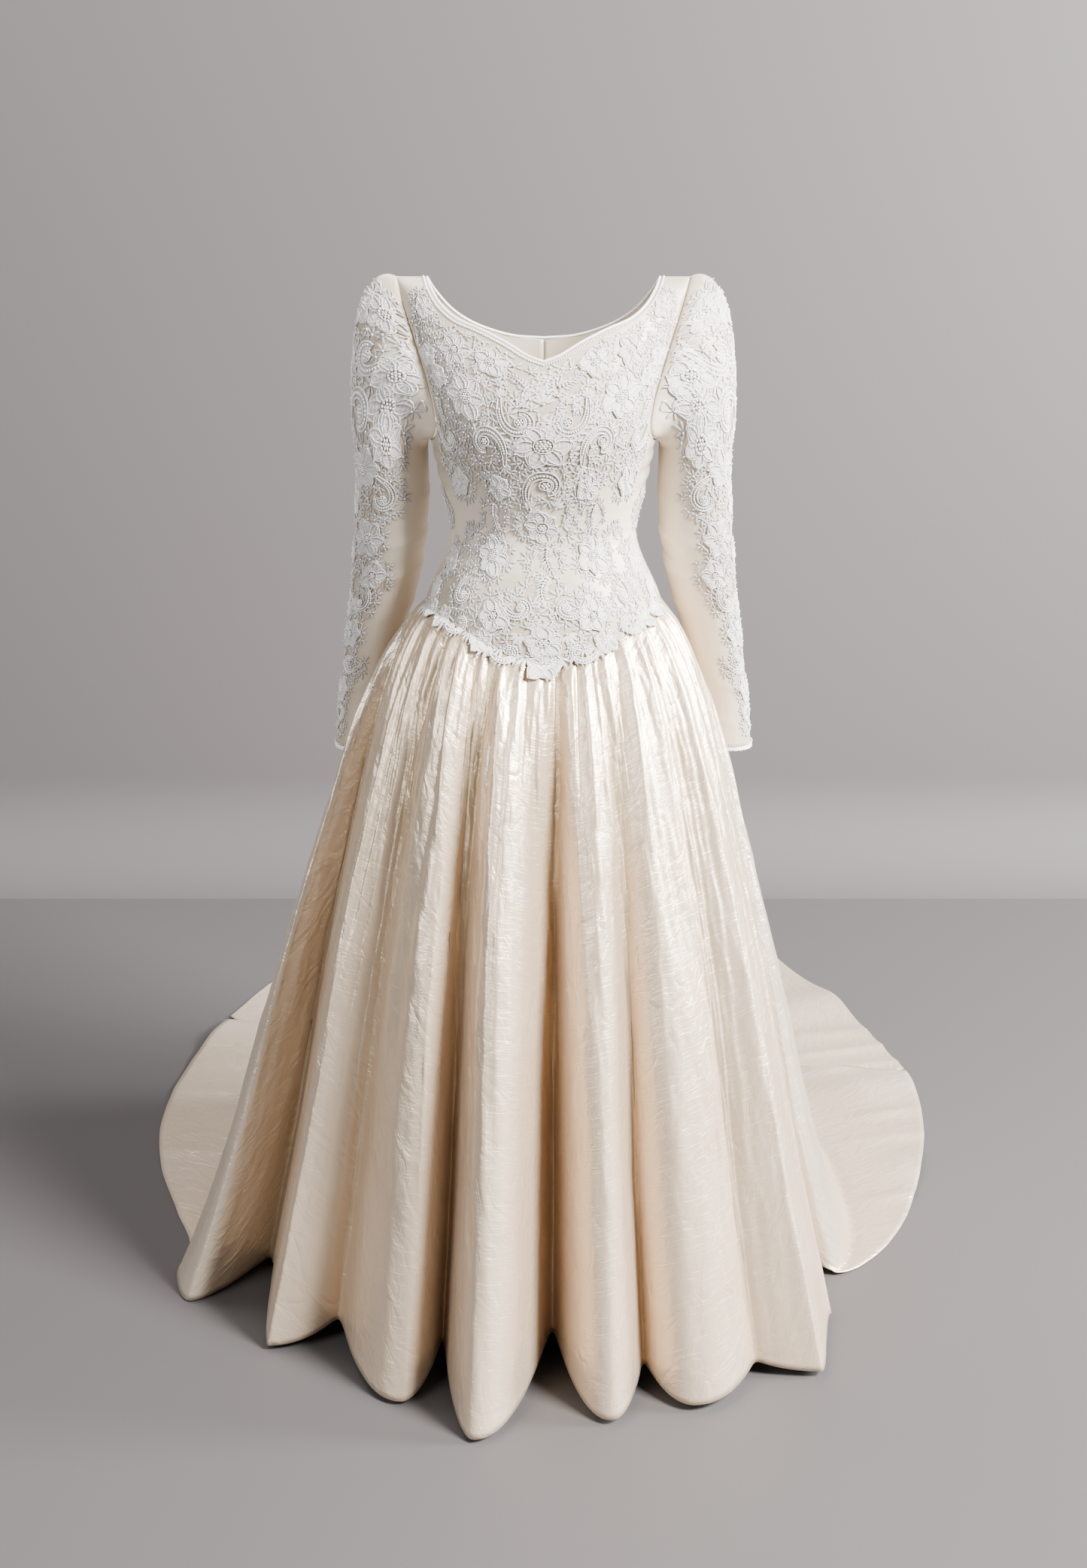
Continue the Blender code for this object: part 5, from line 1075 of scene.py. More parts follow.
    def sprig(self, centre: np.ndarray, size: float, turn: float, hand: float) -> None:
        """Draw a sprig: a bent stem with pairs of pointed leaves."""
        steps = 9
        share = np.linspace(-0.5, 0.5, steps)
        way = math.radians(turn)
        along = np.array((hand * math.cos(way), math.sin(way)))
        across = np.array((-along[1], along[0]))
        line = centre + share[:, None] * size * 1.15 * along + (share**2 - 0.1)[:, None] * size * 0.55 * across
        self.cord(line, self.cord_width * 0.8, 0.0018)
        for index in range(steps - 1):
            direction = unit(line[index + 1] - line[index])
            for side in (1.0, -1.0):
                aside = side * np.array((-direction[1], direction[0]))
                length = size * (0.36 + 0.06 * math.sin(index * 2.1 + side)) * (1.0 - 0.35 * index / steps)
                root = line[index] + aside * 0.0006
                self.leaf(root, root + (direction * 0.72 + aside * 0.70) * length)
        self.leaf(line[-1], line[-1] + unit(line[-1] - line[-2]) * size * 0.34)
        self.taken.append((*line[steps // 2], size * 0.45))
        self.pearls(line[:5], 0.0, 0.0012)

    def draw(self, motifs: Sequence[Motif], flatten: Callable[[float, float], np.ndarray]) -> None:
        """Draw a table of motifs, those on both sides mirrored, each at a slightly different lift."""
        for index, motif in enumerate(motifs):
            self.ground = 0.0002 + 0.00016 * (index % 4)
            for hand in ((1.0, -1.0) if motif.both else (1.0,)):
                centre = flatten(motif.side * hand, motif.height)
                if motif.kind is Lace.ROSE:
                    self.rose(centre, motif.size, motif.turn if hand > 0 else 180.0 - motif.turn)
                elif motif.kind is Lace.SCROLL:
                    self.scroll(centre, motif.size, motif.turn, hand)
                elif motif.kind is Lace.FAN:
                    self.fan(centre, motif.size, motif.turn, hand)
                else:
                    self.sprig(centre, motif.size, motif.turn, hand)

    def fill(self, low: np.ndarray, high: np.ndarray, step: float, room: float, reach: float) -> None:
        """Fill free ground near the motifs with small sprays that spread away from them.

        Args:
            low: The lowest flat corner.
            high: The highest flat corner.
            step: How far apart the sprays are tried.
            room: How much free ground each needs beside what is drawn.
            reach: How far from a motif a spray may stand.
        """
        chance = random.Random(7)
        motifs = np.array(self.taken)
        taken = motifs.copy()
        self.ground = 0.0002
        for y in np.arange(low[1], high[1], step):
            for x in np.arange(low[0], high[0], step):
                spot = np.array((x + chance.uniform(-0.35, 0.35) * step, y + chance.uniform(-0.35, 0.35) * step))
                lean, size = chance.uniform(-30.0, 30.0), chance.uniform(0.0100, 0.0145)
                if not self.keep(spot[:1], spot[1:])[0]:
                    continue
                away = np.hypot(motifs[:, 0] - spot[0], motifs[:, 1] - spot[1]) - motifs[:, 2]
                nearest = int(np.argmin(away))
                apart = np.hypot(taken[:, 0] - spot[0], taken[:, 1] - spot[1]) - taken[:, 2]
                if away[nearest] > reach or np.min(apart) < room:
                    continue
                way = spot - motifs[nearest, :2]
                self.fan(spot, size, math.degrees(math.atan2(way[1], way[0])) + lean, 1.0, 200.0)
                taken = np.vstack((taken, (*spot, size * 0.50)))

    def lay(self, name: str, surface: Callable[[np.ndarray], np.ndarray],
            materials: Sequence[bpy.types.Material], flip: bool = False) -> bpy.types.Object:
        """Lay the drawn lace on a surface, every face turned outward.

        Args:
            name: The object's name.
            surface: Turns rows of flat x, y and lift into points.
            materials: The thread's and the pearls' materials.
            flip: Whether the surface mirrors the flat drawing.

        Returns:
            The finished object.
        """
        flat = np.vstack(self.points)
        turned = []
        for face in self.faces:
            corner = flat[list(face[:3]), :2]
            rise = np.cross(corner[1] - corner[0], corner[2] - corner[0])
            turned.append(face if (rise > 0.0) != flip else face[::-1])
        item = new_object(name, surface(flat), turned, materials)
        item.data.polygons.foreach_set("material_index", np.array(self.kinds, dtype=np.int32))
        # Painted shade: the lower a thread or pearl point lies, the more it is mixed toward its shadow colour.
        set_value(item, "shade", np.clip(1.15 - flat[:, 2] / self.cord_rise, 0.0, 1.0))
        item.data.update()
        return item


@dataclass
class Finishes:
    """Every material of the dress."""

    skirt: bpy.types.Material
    train: bpy.types.Material
    bodice: bpy.types.Material
    sleeve: bpy.types.Material
    lace: bpy.types.Material
    pearl: bpy.types.Material
    trim: bpy.types.Material

    @classmethod
    def make(cls) -> "Finishes":
        """Build the node groups once and each material from them."""
        weave, thread = slub_weave(), thread_work()
        return cls(
            # The second colour of each satin is its painted shade colour.
            skirt=SatinFinish("ivory_slub_satin", (0.75, 0.598, 0.445), (0.58, 0.42, 0.255),
                              0.34, 0.04, 0.35, 1.2, 0.55, 0.0016, 0.58).build(weave),
            train=SatinFinish("train_slub_satin", (0.70, 0.58, 0.455), (0.56, 0.44, 0.30),
                              0.31, 0.04, 0.35, 1.3, 0.55, 0.0016, 0.58).build(weave),
            bodice=SatinFinish("cream_bodice_satin", (0.70, 0.61, 0.49), (0.33, 0.265, 0.195),
                               0.42, 0.06, 0.3, 0.35, 0.2, 0.0011, 0.10).build(weave),
            sleeve=SatinFinish("cream_sleeve_satin", (0.72, 0.62, 0.49), (0.33, 0.265, 0.195),
                               0.42, 0.06, 0.3, 0.5, 0.25, 0.0011, 0.10).build(weave),
            lace=LaceFinish("corded_lace").build(thread),
            pearl=PearlFinish("glass_pearls").build(),
            trim=SatinFinish("white_trim_satin", (0.89, 0.86, 0.80), (0.80, 0.74, 0.65), 0.36, 0.3, 0.3, 0.1, 0.15).build(weave),
        )


def settle(item: bpy.types.Object, slot: str, *nodes: str) -> bpy.types.Object:
    """Make a piece ride with the dress and stand for its nodes, which are hidden."""
    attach(item, "root")
    if nodes:
        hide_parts(*nodes)
    LOG.info("%s: %d faces, %.4f square metres", item.name, len(item.data.polygons), area_of(item))
    return item


@dataclass
class Bodice:
    """The bodice's front with its lace and the two plain backs."""

    body: BodyForm
    skirt: SkirtForm
    finishes: Finishes
    wall: float = 0.0020
    columns: int = 60
    underarm: float = 1.207
    lace_margin: float = 0.0035
    free_drop: float = 0.020
    # Middle height and half height of the plain waist band in the front's painted shade.
    waist_middle: float = 1.10
    waist_half: float = 0.055

    def edges(self, back: bool) -> tuple[np.ndarray, np.ndarray, np.ndarray, np.ndarray]:
        """Return neckline and armhole as turn and rise tables, in rising rise."""
        neck = self.body.edge(BACK_NECKLINE if back else FRONT_NECKLINE, back, 80)
        arm = self.body.edge(BACK_ARMHOLE if back else FRONT_ARMHOLE, back, 80)
        return neck[0], neck[1], arm[0][::-1], arm[1][::-1]

    def half_panel(self, back: bool) -> tuple[np.ndarray, np.ndarray]:
        """Return the turns and rises of a right half panel, as columns from the centre out, running down."""
        neck_turn, neck_rise, arm_turn, arm_rise = self.edges(back)
        centre = 180.0 if back else 0.0
        top, low, mid = self.body.rises[-1], arm_rise[0], neck_rise[0]
        upper = np.linspace(top - 0.0002, mid, 26)
        middle = np.linspace(mid, low, 24)[1:]
        near = np.linspace(0.0, 1.0, self.columns)[:, None]
        inner = np.interp(upper, neck_rise, neck_turn)
        outer = np.interp(upper, arm_rise, arm_turn)
        straps = inner + (outer - inner) * near
        chest = centre + (np.interp(middle, arm_rise, arm_turn) - centre) * near
        side = centre + (90.0 - centre) * near
        share = np.linspace(0.0, 1.0, 50)[1:]
        waist = low + (self.body.seam_rise(side) - low) * share
        turns = np.concatenate((straps, chest, np.repeat(side, len(share), axis=1)), axis=1)
        rises = np.concatenate((np.tile(upper, (self.columns, 1)), np.tile(middle, (self.columns, 1)), waist), axis=1)
        return turns, rises

    def dents(self, turn: np.ndarray, rise: np.ndarray) -> np.ndarray:
        """Return the soft pulls of the cloth, mostly across the waist and under the arms."""
        away = (rise - self.body.rise_at(1.09)) / 0.035
        across = 0.0004 * np.exp(-away**2) * np.sin(rise * 420.0 + 0.03 * turn + uneven(turn, 2.0))
        arm = np.exp(-(((np.abs(turn) - 78.0) / 22.0) ** 2) - ((rise - self.body.rise_at(1.17)) / 0.05) ** 2)
        return across + 0.0012 * arm * np.sin(rise * 260.0 - 0.09 * np.abs(turn))

    def panel(self, name: str, back: bool, hands: Sequence[float], material: bpy.types.Material) -> bpy.types.Object:
        """Build a panel from half panels, joined on the centre line where it has both."""
        turns, rises = self.half_panel(back)
        points, faces, uv = [], [], []
        for hand in hands:
            point = self.body.point(turns, rises) + self.body.normal(turns, rises) * self.dents(turns, rises)[..., None]
            point[..., 0] *= hand
            part = grid_faces(*turns.shape)
            start = len(points) * turns.size
            rising = (hand > 0) != back
            faces += [tuple(c + start for c in (face if rising else face[::-1])) for face in part]
            points.append(point.reshape(-1, 3))
            uv.append(np.stack((turns * TURN_LENGTH * hand, rises), -1).reshape(-1, 2))
        item = new_object(name, np.vstack(points), faces, [material])
        set_uv(item, np.vstack(uv))
        # Painted shade: the front is mixed toward the deep colour where the lace covers it, chest and basque, and left
        # plain across the waist; the backs get none.
        height = np.vstack(points)[:, 2] + SHOULDER_HEIGHT
        waist = np.exp(-(((height - self.waist_middle) / self.waist_half) ** 4))
        set_value(item, "shade", np.zeros_like(waist) if back else 0.62 * (1.0 - waist))
        only(item)
        bpy.ops.object.mode_set(mode="EDIT")
        bpy.ops.mesh.select_all(action="SELECT")
        bpy.ops.mesh.remove_doubles(threshold=0.00005)
        bpy.ops.object.mode_set(mode="OBJECT")
        thicken(item, self.wall)
        return item

    def inside(self, x: np.ndarray, y: np.ndarray) -> np.ndarray:
        """Tell which flat places lie on the front panel, clear of its edges, or on the free edge below it."""
        neck_turn, neck_rise, arm_turn, arm_rise = self.edges(False)
        turn = np.abs(x) / TURN_LENGTH
        edge = self.lace_margin / TURN_LENGTH
        outer = np.where(y < arm_rise[0] + 0.001, 89.0, np.interp(y, arm_rise, arm_turn) - edge)
        inner = np.where(y < neck_rise[0] - self.lace_margin * 2.0, -1.0, np.interp(y + self.lace_margin * 1.6, neck_rise, neck_turn) + edge)
        inner = np.where((y >= neck_rise[0] - self.lace_margin * 2.0) & (y < neck_rise[0]), edge * 0.5, inner)
        drop = self.body.seam_rise(turn) - y
        below = (drop < self.free_drop * (0.55 + 0.45 * np.cos(np.radians(turn * 5.0)) ** 2)) & (turn < LACE_FREE_TURN)
        return (turn < outer) & (turn > inner) & (y < self.body.rises[-1] - 0.006) & ((drop < -0.0004) | (below & (drop > 0.0)))

    def surface(self, rows: np.ndarray) -> np.ndarray:
        """Return points for flat places and lifts: on the bodice, or past its seam on the skirt's gathers."""
        turn, rise, lift = rows[:, 0] / TURN_LENGTH, rows[:, 1], rows[:, 2]
        drop = self.body.seam_rise(turn) - rise
        on_body = self.body.point(turn, rise) + self.body.normal(turn, rise) * (lift + self.dents(turn, rise))[:, None]
        angle = np.radians(turn)
        out = unit(np.stack((np.sin(angle), -np.cos(angle), np.full_like(angle, 0.55)), -1))
        on_skirt = self.skirt.crest(turn, np.maximum(drop, 0.0)) + out * (lift + 0.0010)[:, None]
        share = np.clip(drop / 0.004, 0.0, 1.0)[:, None]
        return on_body * (1.0 - share) + on_skirt * share

    def flatten(self, side: float, height: float) -> np.ndarray:
        """Return the flat place of a motif."""
        turn = float(self.body.turn_at(np.array(side), np.array(height), False))
        return np.array((math.copysign(turn, side) * TURN_LENGTH, float(self.body.rise_at(height))))

    def lace(self) -> bpy.types.Object:
        """Draw the front's lace and lay it on the bodice and over its lower seam."""
        work = LaceWork(self.inside)
        work.draw(BODICE_LACE, self.flatten)
        top = self.body.rises[-1]
        chest = float(self.body.rise_at(1.190))
        work.fill(np.array((-0.25, chest)), np.array((0.25, top)), 0.0085, 0.0010, 0.0170)
        work.fill(np.array((-0.25, 0.0)), np.array((0.25, chest)), 0.0085, 0.0012, 0.0100)
        return work.lay("bodice_lace", self.surface, (self.finishes.lace, self.finishes.pearl))

    def lace_edge(self) -> bpy.types.Object:
        """Make the free leafy edge that hangs over the gathers: motifs and sprays along the seam."""
        def near_seam(x: np.ndarray, y: np.ndarray) -> np.ndarray:
            drop = self.body.seam_rise(x / TURN_LENGTH) - y
            return (np.abs(x) / TURN_LENGTH < LACE_FREE_TURN) & (drop > -0.022) & (drop < self.free_drop)

        def beside_seam(side: float, away: float) -> np.ndarray:
            turn = side / TURN_LENGTH
            return np.array((side, float(self.body.seam_rise(np.array(turn))) + away))

        work = LaceWork(near_seam)
        work.draw(EDGE_LACE, beside_seam)
        turns = np.arange(-LACE_FREE_TURN + 2.0, LACE_FREE_TURN - 1.0, 5.4)
        for index, turn in enumerate(turns):
            lean = 16.0 * math.sin(index * 2.3) - 0.25 * turn
            swell = 0.5 + 0.5 * math.cos(math.radians(turn * 15.0))
            root = beside_seam(turn * TURN_LENGTH, 0.0030 + 0.0030 * (index % 2))
            work.ground = 0.0003 + 0.0003 * (index % 2)
            work.leaf_ratio = 0.27
            work.fan(root, 0.0120 + 0.0100 * swell, 270.0 + lean, 1.0, 130.0)
        return work.lay("lace_free_edge", self.surface, (self.finishes.lace, self.finishes.pearl))

    def build(self) -> None:
        """Build every piece of the bodice."""
        lace, edge = self.lace(), self.lace_edge()
        front = self.panel("satin_bodice_front", False, (1.0, -1.0), self.finishes.bodice)
        settle(front, "front_lace_on_satin", "bodice_front")
        settle(lace, "front_lace_on_satin", "bodice_front")
        settle(edge, "edge_lace", "lace_edge")
        for name, hand in (("right", 1.0), ("left", -1.0)):
            back = self.panel(f"satin_bodice_back_{name}", True, (hand,), self.finishes.bodice)
            settle(back, f"back_satin_{name}", f"bodice_back_{name}")


@dataclass
class Sleeves:
    """Both sleeves, their lace and the cuffs."""

    form: SleeveForm
    finishes: Finishes
    wall: float = 0.0022
    columns: int = 112
    rows_long: int = 88
    rows_cap: int = 34
    band: float = 0.0052

    def grid(self) -> tuple[np.ndarray, np.ndarray]:
        """Return the flat places of a sleeve, as columns running down."""
        around = np.linspace(-180.0, 180.0, self.columns + 1)
        cap = self.form.cap_height(around) - SEAM_GAP * 2.0
        bottom = self.form.end - self.form.cap_base
        upper = cap[:, None] * (1.0 - np.linspace(0.0, 1.0, self.rows_cap)[:-1])
        lower = np.tile(np.linspace(0.0, bottom, self.rows_long), (len(around), 1))
        level = np.concatenate((upper, lower), axis=1)
        return np.repeat(around[:, None] * self.form.around, level.shape[1], axis=1), level

    def tube(self, name: str, hand: float) -> bpy.types.Object:
        """Build one satin sleeve."""
        x, y = self.grid()
        points = self.form.place(x, y, np.zeros_like(x), hand)
        points[-1] = points[0]
        faces = grid_faces(*x.shape)
        if hand > 0:
            faces = [face[::-1] for face in faces]
        item = new_object(name, points.reshape(-1, 3), faces, [self.finishes.sleeve])
        set_uv(item, np.stack((x, y), -1).reshape(-1, 2))
        # Painted shade: the satin is mixed toward the deep colour down the lace column, under the lace.
        beside = (x - self.form.midline * self.form.around) / (0.062 + 0.16 * np.minimum(y, 0.0) * 0.4)
        shade = 0.62 * np.exp(-(beside**4))
        set_value(item, "shade", shade)
        only(item)
        bpy.ops.object.mode_set(mode="EDIT")
        bpy.ops.mesh.select_all(action="SELECT")
        bpy.ops.mesh.remove_doubles(threshold=0.00005)
        bpy.ops.object.mode_set(mode="OBJECT")
        thicken(item, self.wall)
        return item

    def inside(self, x: np.ndarray, y: np.ndarray) -> np.ndarray:
        """Tell which flat places lie on the sleeve, clear of its edges."""
        around = x / self.form.around
        return (np.abs(around) < 176.0) & (y < self.form.cap_height(around) - 0.006) & (y > self.form.end - self.form.cap_base + 0.010)

    def flatten(self, side: float, height: float) -> np.ndarray:
        """Return the flat place of a motif."""
        x = self.form.midline * self.form.around + side
        above = max(height - self.form.cap_base, 0.0) / (self.form.cap_top - self.form.cap_base)
        level = float(self.form.cap_height(np.array(x / self.form.around))) * above if above else height - self.form.cap_base
        return np.array((x, level))

    def lace(self, name: str, hand: float) -> bpy.types.Object:
        """Draw the sleeve's lace and lay it on the satin."""
        work = LaceWork(self.inside)
        work.draw(SLEEVE_LACE, self.flatten)
        middle = self.form.midline * self.form.around
        low = self.form.end - self.form.cap_base
        work.fill(np.array((middle - 0.085, low)), np.array((middle + 0.080, 0.17)), 0.0085, 0.0012, 0.0105)
        return work.lay(name, lambda rows: self.form.place(rows[:, 0], rows[:, 1], rows[:, 2], hand),
                        (self.finishes.lace, self.finishes.pearl), hand > 0)

    def cuff(self, name: str, hand: float) -> bpy.types.Object:
        """Build a cuff: two narrow rolls of satin with small scallops under them; the row of pearls above is set by
        cuff_pearls.
        """
        around = np.linspace(-180.0, 180.0, 97)
        edge = self.form.ring(around, np.full_like(around, self.form.end))
        centre = edge.mean(axis=0)
        out = unit((edge - centre) * np.array((1.0, 1.0, 0.0)))
        profile = ((0.0010, -0.0002), (0.0021, -0.0011), (0.0021, -0.0020), (0.0011, -0.0026), (0.0021, -0.0032),
                   (0.0021, -0.0043), (0.0008, -0.0050), (-0.0016, -0.0046), (-0.0030, -0.0026), (-0.0028, -0.0006))
        rings = []
        for reach, drop in profile:
            frill = 0.0011 * np.abs(np.sin(np.radians(around * 12.0))) if drop < -0.004 else 0.0
            ring = edge + out * reach
            ring[:, 2] += drop - frill
            rings.append(ring)
        rings.append(rings[0])
        points = np.stack(rings, 1) * np.array((hand, 1.0, 1.0))
        points[-1] = points[0]
        faces = grid_faces(len(around), len(rings))
        if hand > 0:
            faces = [face[::-1] for face in faces]
        item = new_object(name, points.reshape(-1, 3), faces, [self.finishes.trim])
        length = np.repeat(around[:, None] * 0.0005, len(rings), axis=1)
        set_uv(item, np.stack((length, np.tile(np.arange(len(rings)) * 0.001, (len(around), 1))), -1).reshape(-1, 2))
        set_value(item, "shade", np.zeros(len(item.data.vertices)))
        only(item)
        bpy.ops.object.mode_set(mode="EDIT")
        bpy.ops.mesh.select_all(action="SELECT")
        bpy.ops.mesh.remove_doubles(threshold=0.00002)
        bpy.ops.mesh.normals_make_consistent(inside=False)
        bpy.ops.object.mode_set(mode="OBJECT")
        return item

    def cuff_pearls(self, name: str, hand: float) -> bpy.types.Object:
        """Set the row of pearls above a cuff."""
        work = LaceWork(lambda x, y: np.ones_like(x, dtype=bool), pearl_step=0.0062)
        around = np.linspace(-180.0, 180.0, 200)
        low = self.form.end - self.form.cap_base
        work.pearls(np.column_stack((around * self.form.around, np.full_like(around, low + 0.0026))))
        return work.lay(name, lambda rows: self.form.place(rows[:, 0], rows[:, 1], rows[:, 2], hand),
                        (self.finishes.lace, self.finishes.pearl), hand > 0)

    def build(self) -> None:
        """Build both sleeves with their lace and cuffs."""
        for name, hand in (("right", 1.0), ("left", -1.0)):
            sleeve = settle(self.tube(f"satin_sleeve_{name}", hand), f"sleeve_lace_{name}", f"sleeve_{name}")
            lace = settle(self.lace(f"sleeve_lacework_{name}", hand), f"sleeve_lace_{name}", f"sleeve_{name}")
            cuff = settle(self.cuff(f"cuff_roll_{name}", hand), f"cuff_pearl_{name}", f"cuff_binding_{name}")
            pearls = settle(self.cuff_pearls(f"cuff_pearls_{name}", hand), f"cuff_pearl_{name}", f"cuff_binding_{name}")


@dataclass
class NeckEdge:
    """The piping of the neckline and its row of pearls."""

    body: BodyForm
    finishes: Finishes
    wall: float = 0.0024
    radius: float = 0.0019
    pearl_drop: float = 0.0046

    def loop(self) -> tuple[np.ndarray, np.ndarray]:
        """Return turns and rises all round the neckline."""
        front, back = self.body.edge(FRONT_NECKLINE, False, 70), self.body.edge(BACK_NECKLINE, True, 55)
        turn = np.concatenate((front[0], back[0][-2::-1]))
        rise = np.concatenate((front[1], back[1][-2::-1]))
        return np.concatenate((turn, -turn[-2:0:-1])), np.concatenate((rise, rise[-2:0:-1]))

    def frame(self) -> tuple[np.ndarray, np.ndarray, np.ndarray]:
        """Return the piping's middle line, and the directions out of the cloth and away from its edge."""
        turn, rise = self.loop()
        normal = self.body.normal(turn, rise)
        middle = self.body.point(turn, rise) - normal * self.wall * 0.5
        along = unit(np.roll(middle, -1, axis=0) - np.roll(middle, 1, axis=0))
        away = unit(np.cross(normal, along))
        score = away[:, 2] + 0.2 * np.sum(away * -middle, axis=1)
        away = away * np.where(score < 0.0, -1.0, 1.0)[:, None]
        return middle, unit(np.cross(along, away)) * np.where(score < 0.0, -1.0, 1.0)[:, None], away

    def piping(self) -> bpy.types.Object:
        """Sweep the piping round the neckline."""
        middle, out, away = self.frame()
        centre = middle + away * (self.radius + SEAM_GAP)
        angles = np.linspace(0.0, 2.0 * math.pi, 9)
        rings = [centre + (out * math.cos(a) + away * math.sin(a)) * self.radius for a in angles]
        points = np.stack(rings, 1)
        points = np.concatenate((points, points[:1]))
        item = new_object("neck_piping", points.reshape(-1, 3), grid_faces(*points.shape[:2]), [self.finishes.trim])
        along = np.arange(len(points))[:, None] * 0.004 + np.zeros((1, len(angles)))
        set_uv(item, np.stack((along, np.tile(angles * 0.002, (len(points), 1))), -1).reshape(-1, 2))
        set_value(item, "shade", np.zeros(len(item.data.vertices)))
        only(item)
        bpy.ops.object.mode_set(mode="EDIT")
        bpy.ops.mesh.select_all(action="SELECT")
        bpy.ops.mesh.remove_doubles(threshold=0.00002)
        bpy.ops.mesh.normals_make_consistent(inside=False)
        bpy.ops.object.mode_set(mode="OBJECT")
        return item

    def pearls(self) -> bpy.types.Object:
        """Set the pearls just inside the piping."""
        turn, rise = self.loop()
        middle, out, away = self.frame()
        line = middle - away * self.pearl_drop * 0.62 + out * (self.wall * 0.5 + 0.0004)
        line = np.vstack((line, line[:1]))
        lengths = np.concatenate(([0.0], np.cumsum(np.linalg.norm(np.diff(line, axis=0), axis=1))))
        bpy.ops.object.select_all(action="DESELECT")
        bpy.ops.mesh.primitive_uv_sphere_add(segments=8, ring_count=5, radius=0.0015)
        pearl = bpy.context.object
        base = np.array([tuple(v.co) for v in pearl.data.vertices])
        shape = [tuple(face.vertices) for face in pearl.data.polygons]
        bpy.data.objects.remove(pearl, do_unlink=True)
        count = int(lengths[-1] / 0.0034)
        points, faces = [], []
        for index in range(count):
            at = index * lengths[-1] / count
            centre = np.array([np.interp(at, lengths, line[:, axis]) for axis in range(3)])
            faces += [tuple(corner + index * len(base) for corner in face) for face in shape]
            points.append(base + centre)
        return new_object("neck_pearls", np.vstack(points), faces, [self.finishes.pearl])

    def build(self) -> None:
        """Build the neckline's edge."""
        settle(self.piping(), "neck_pearl", "neck_binding")
        settle(self.pearls(), "neck_pearl", "neck_binding")


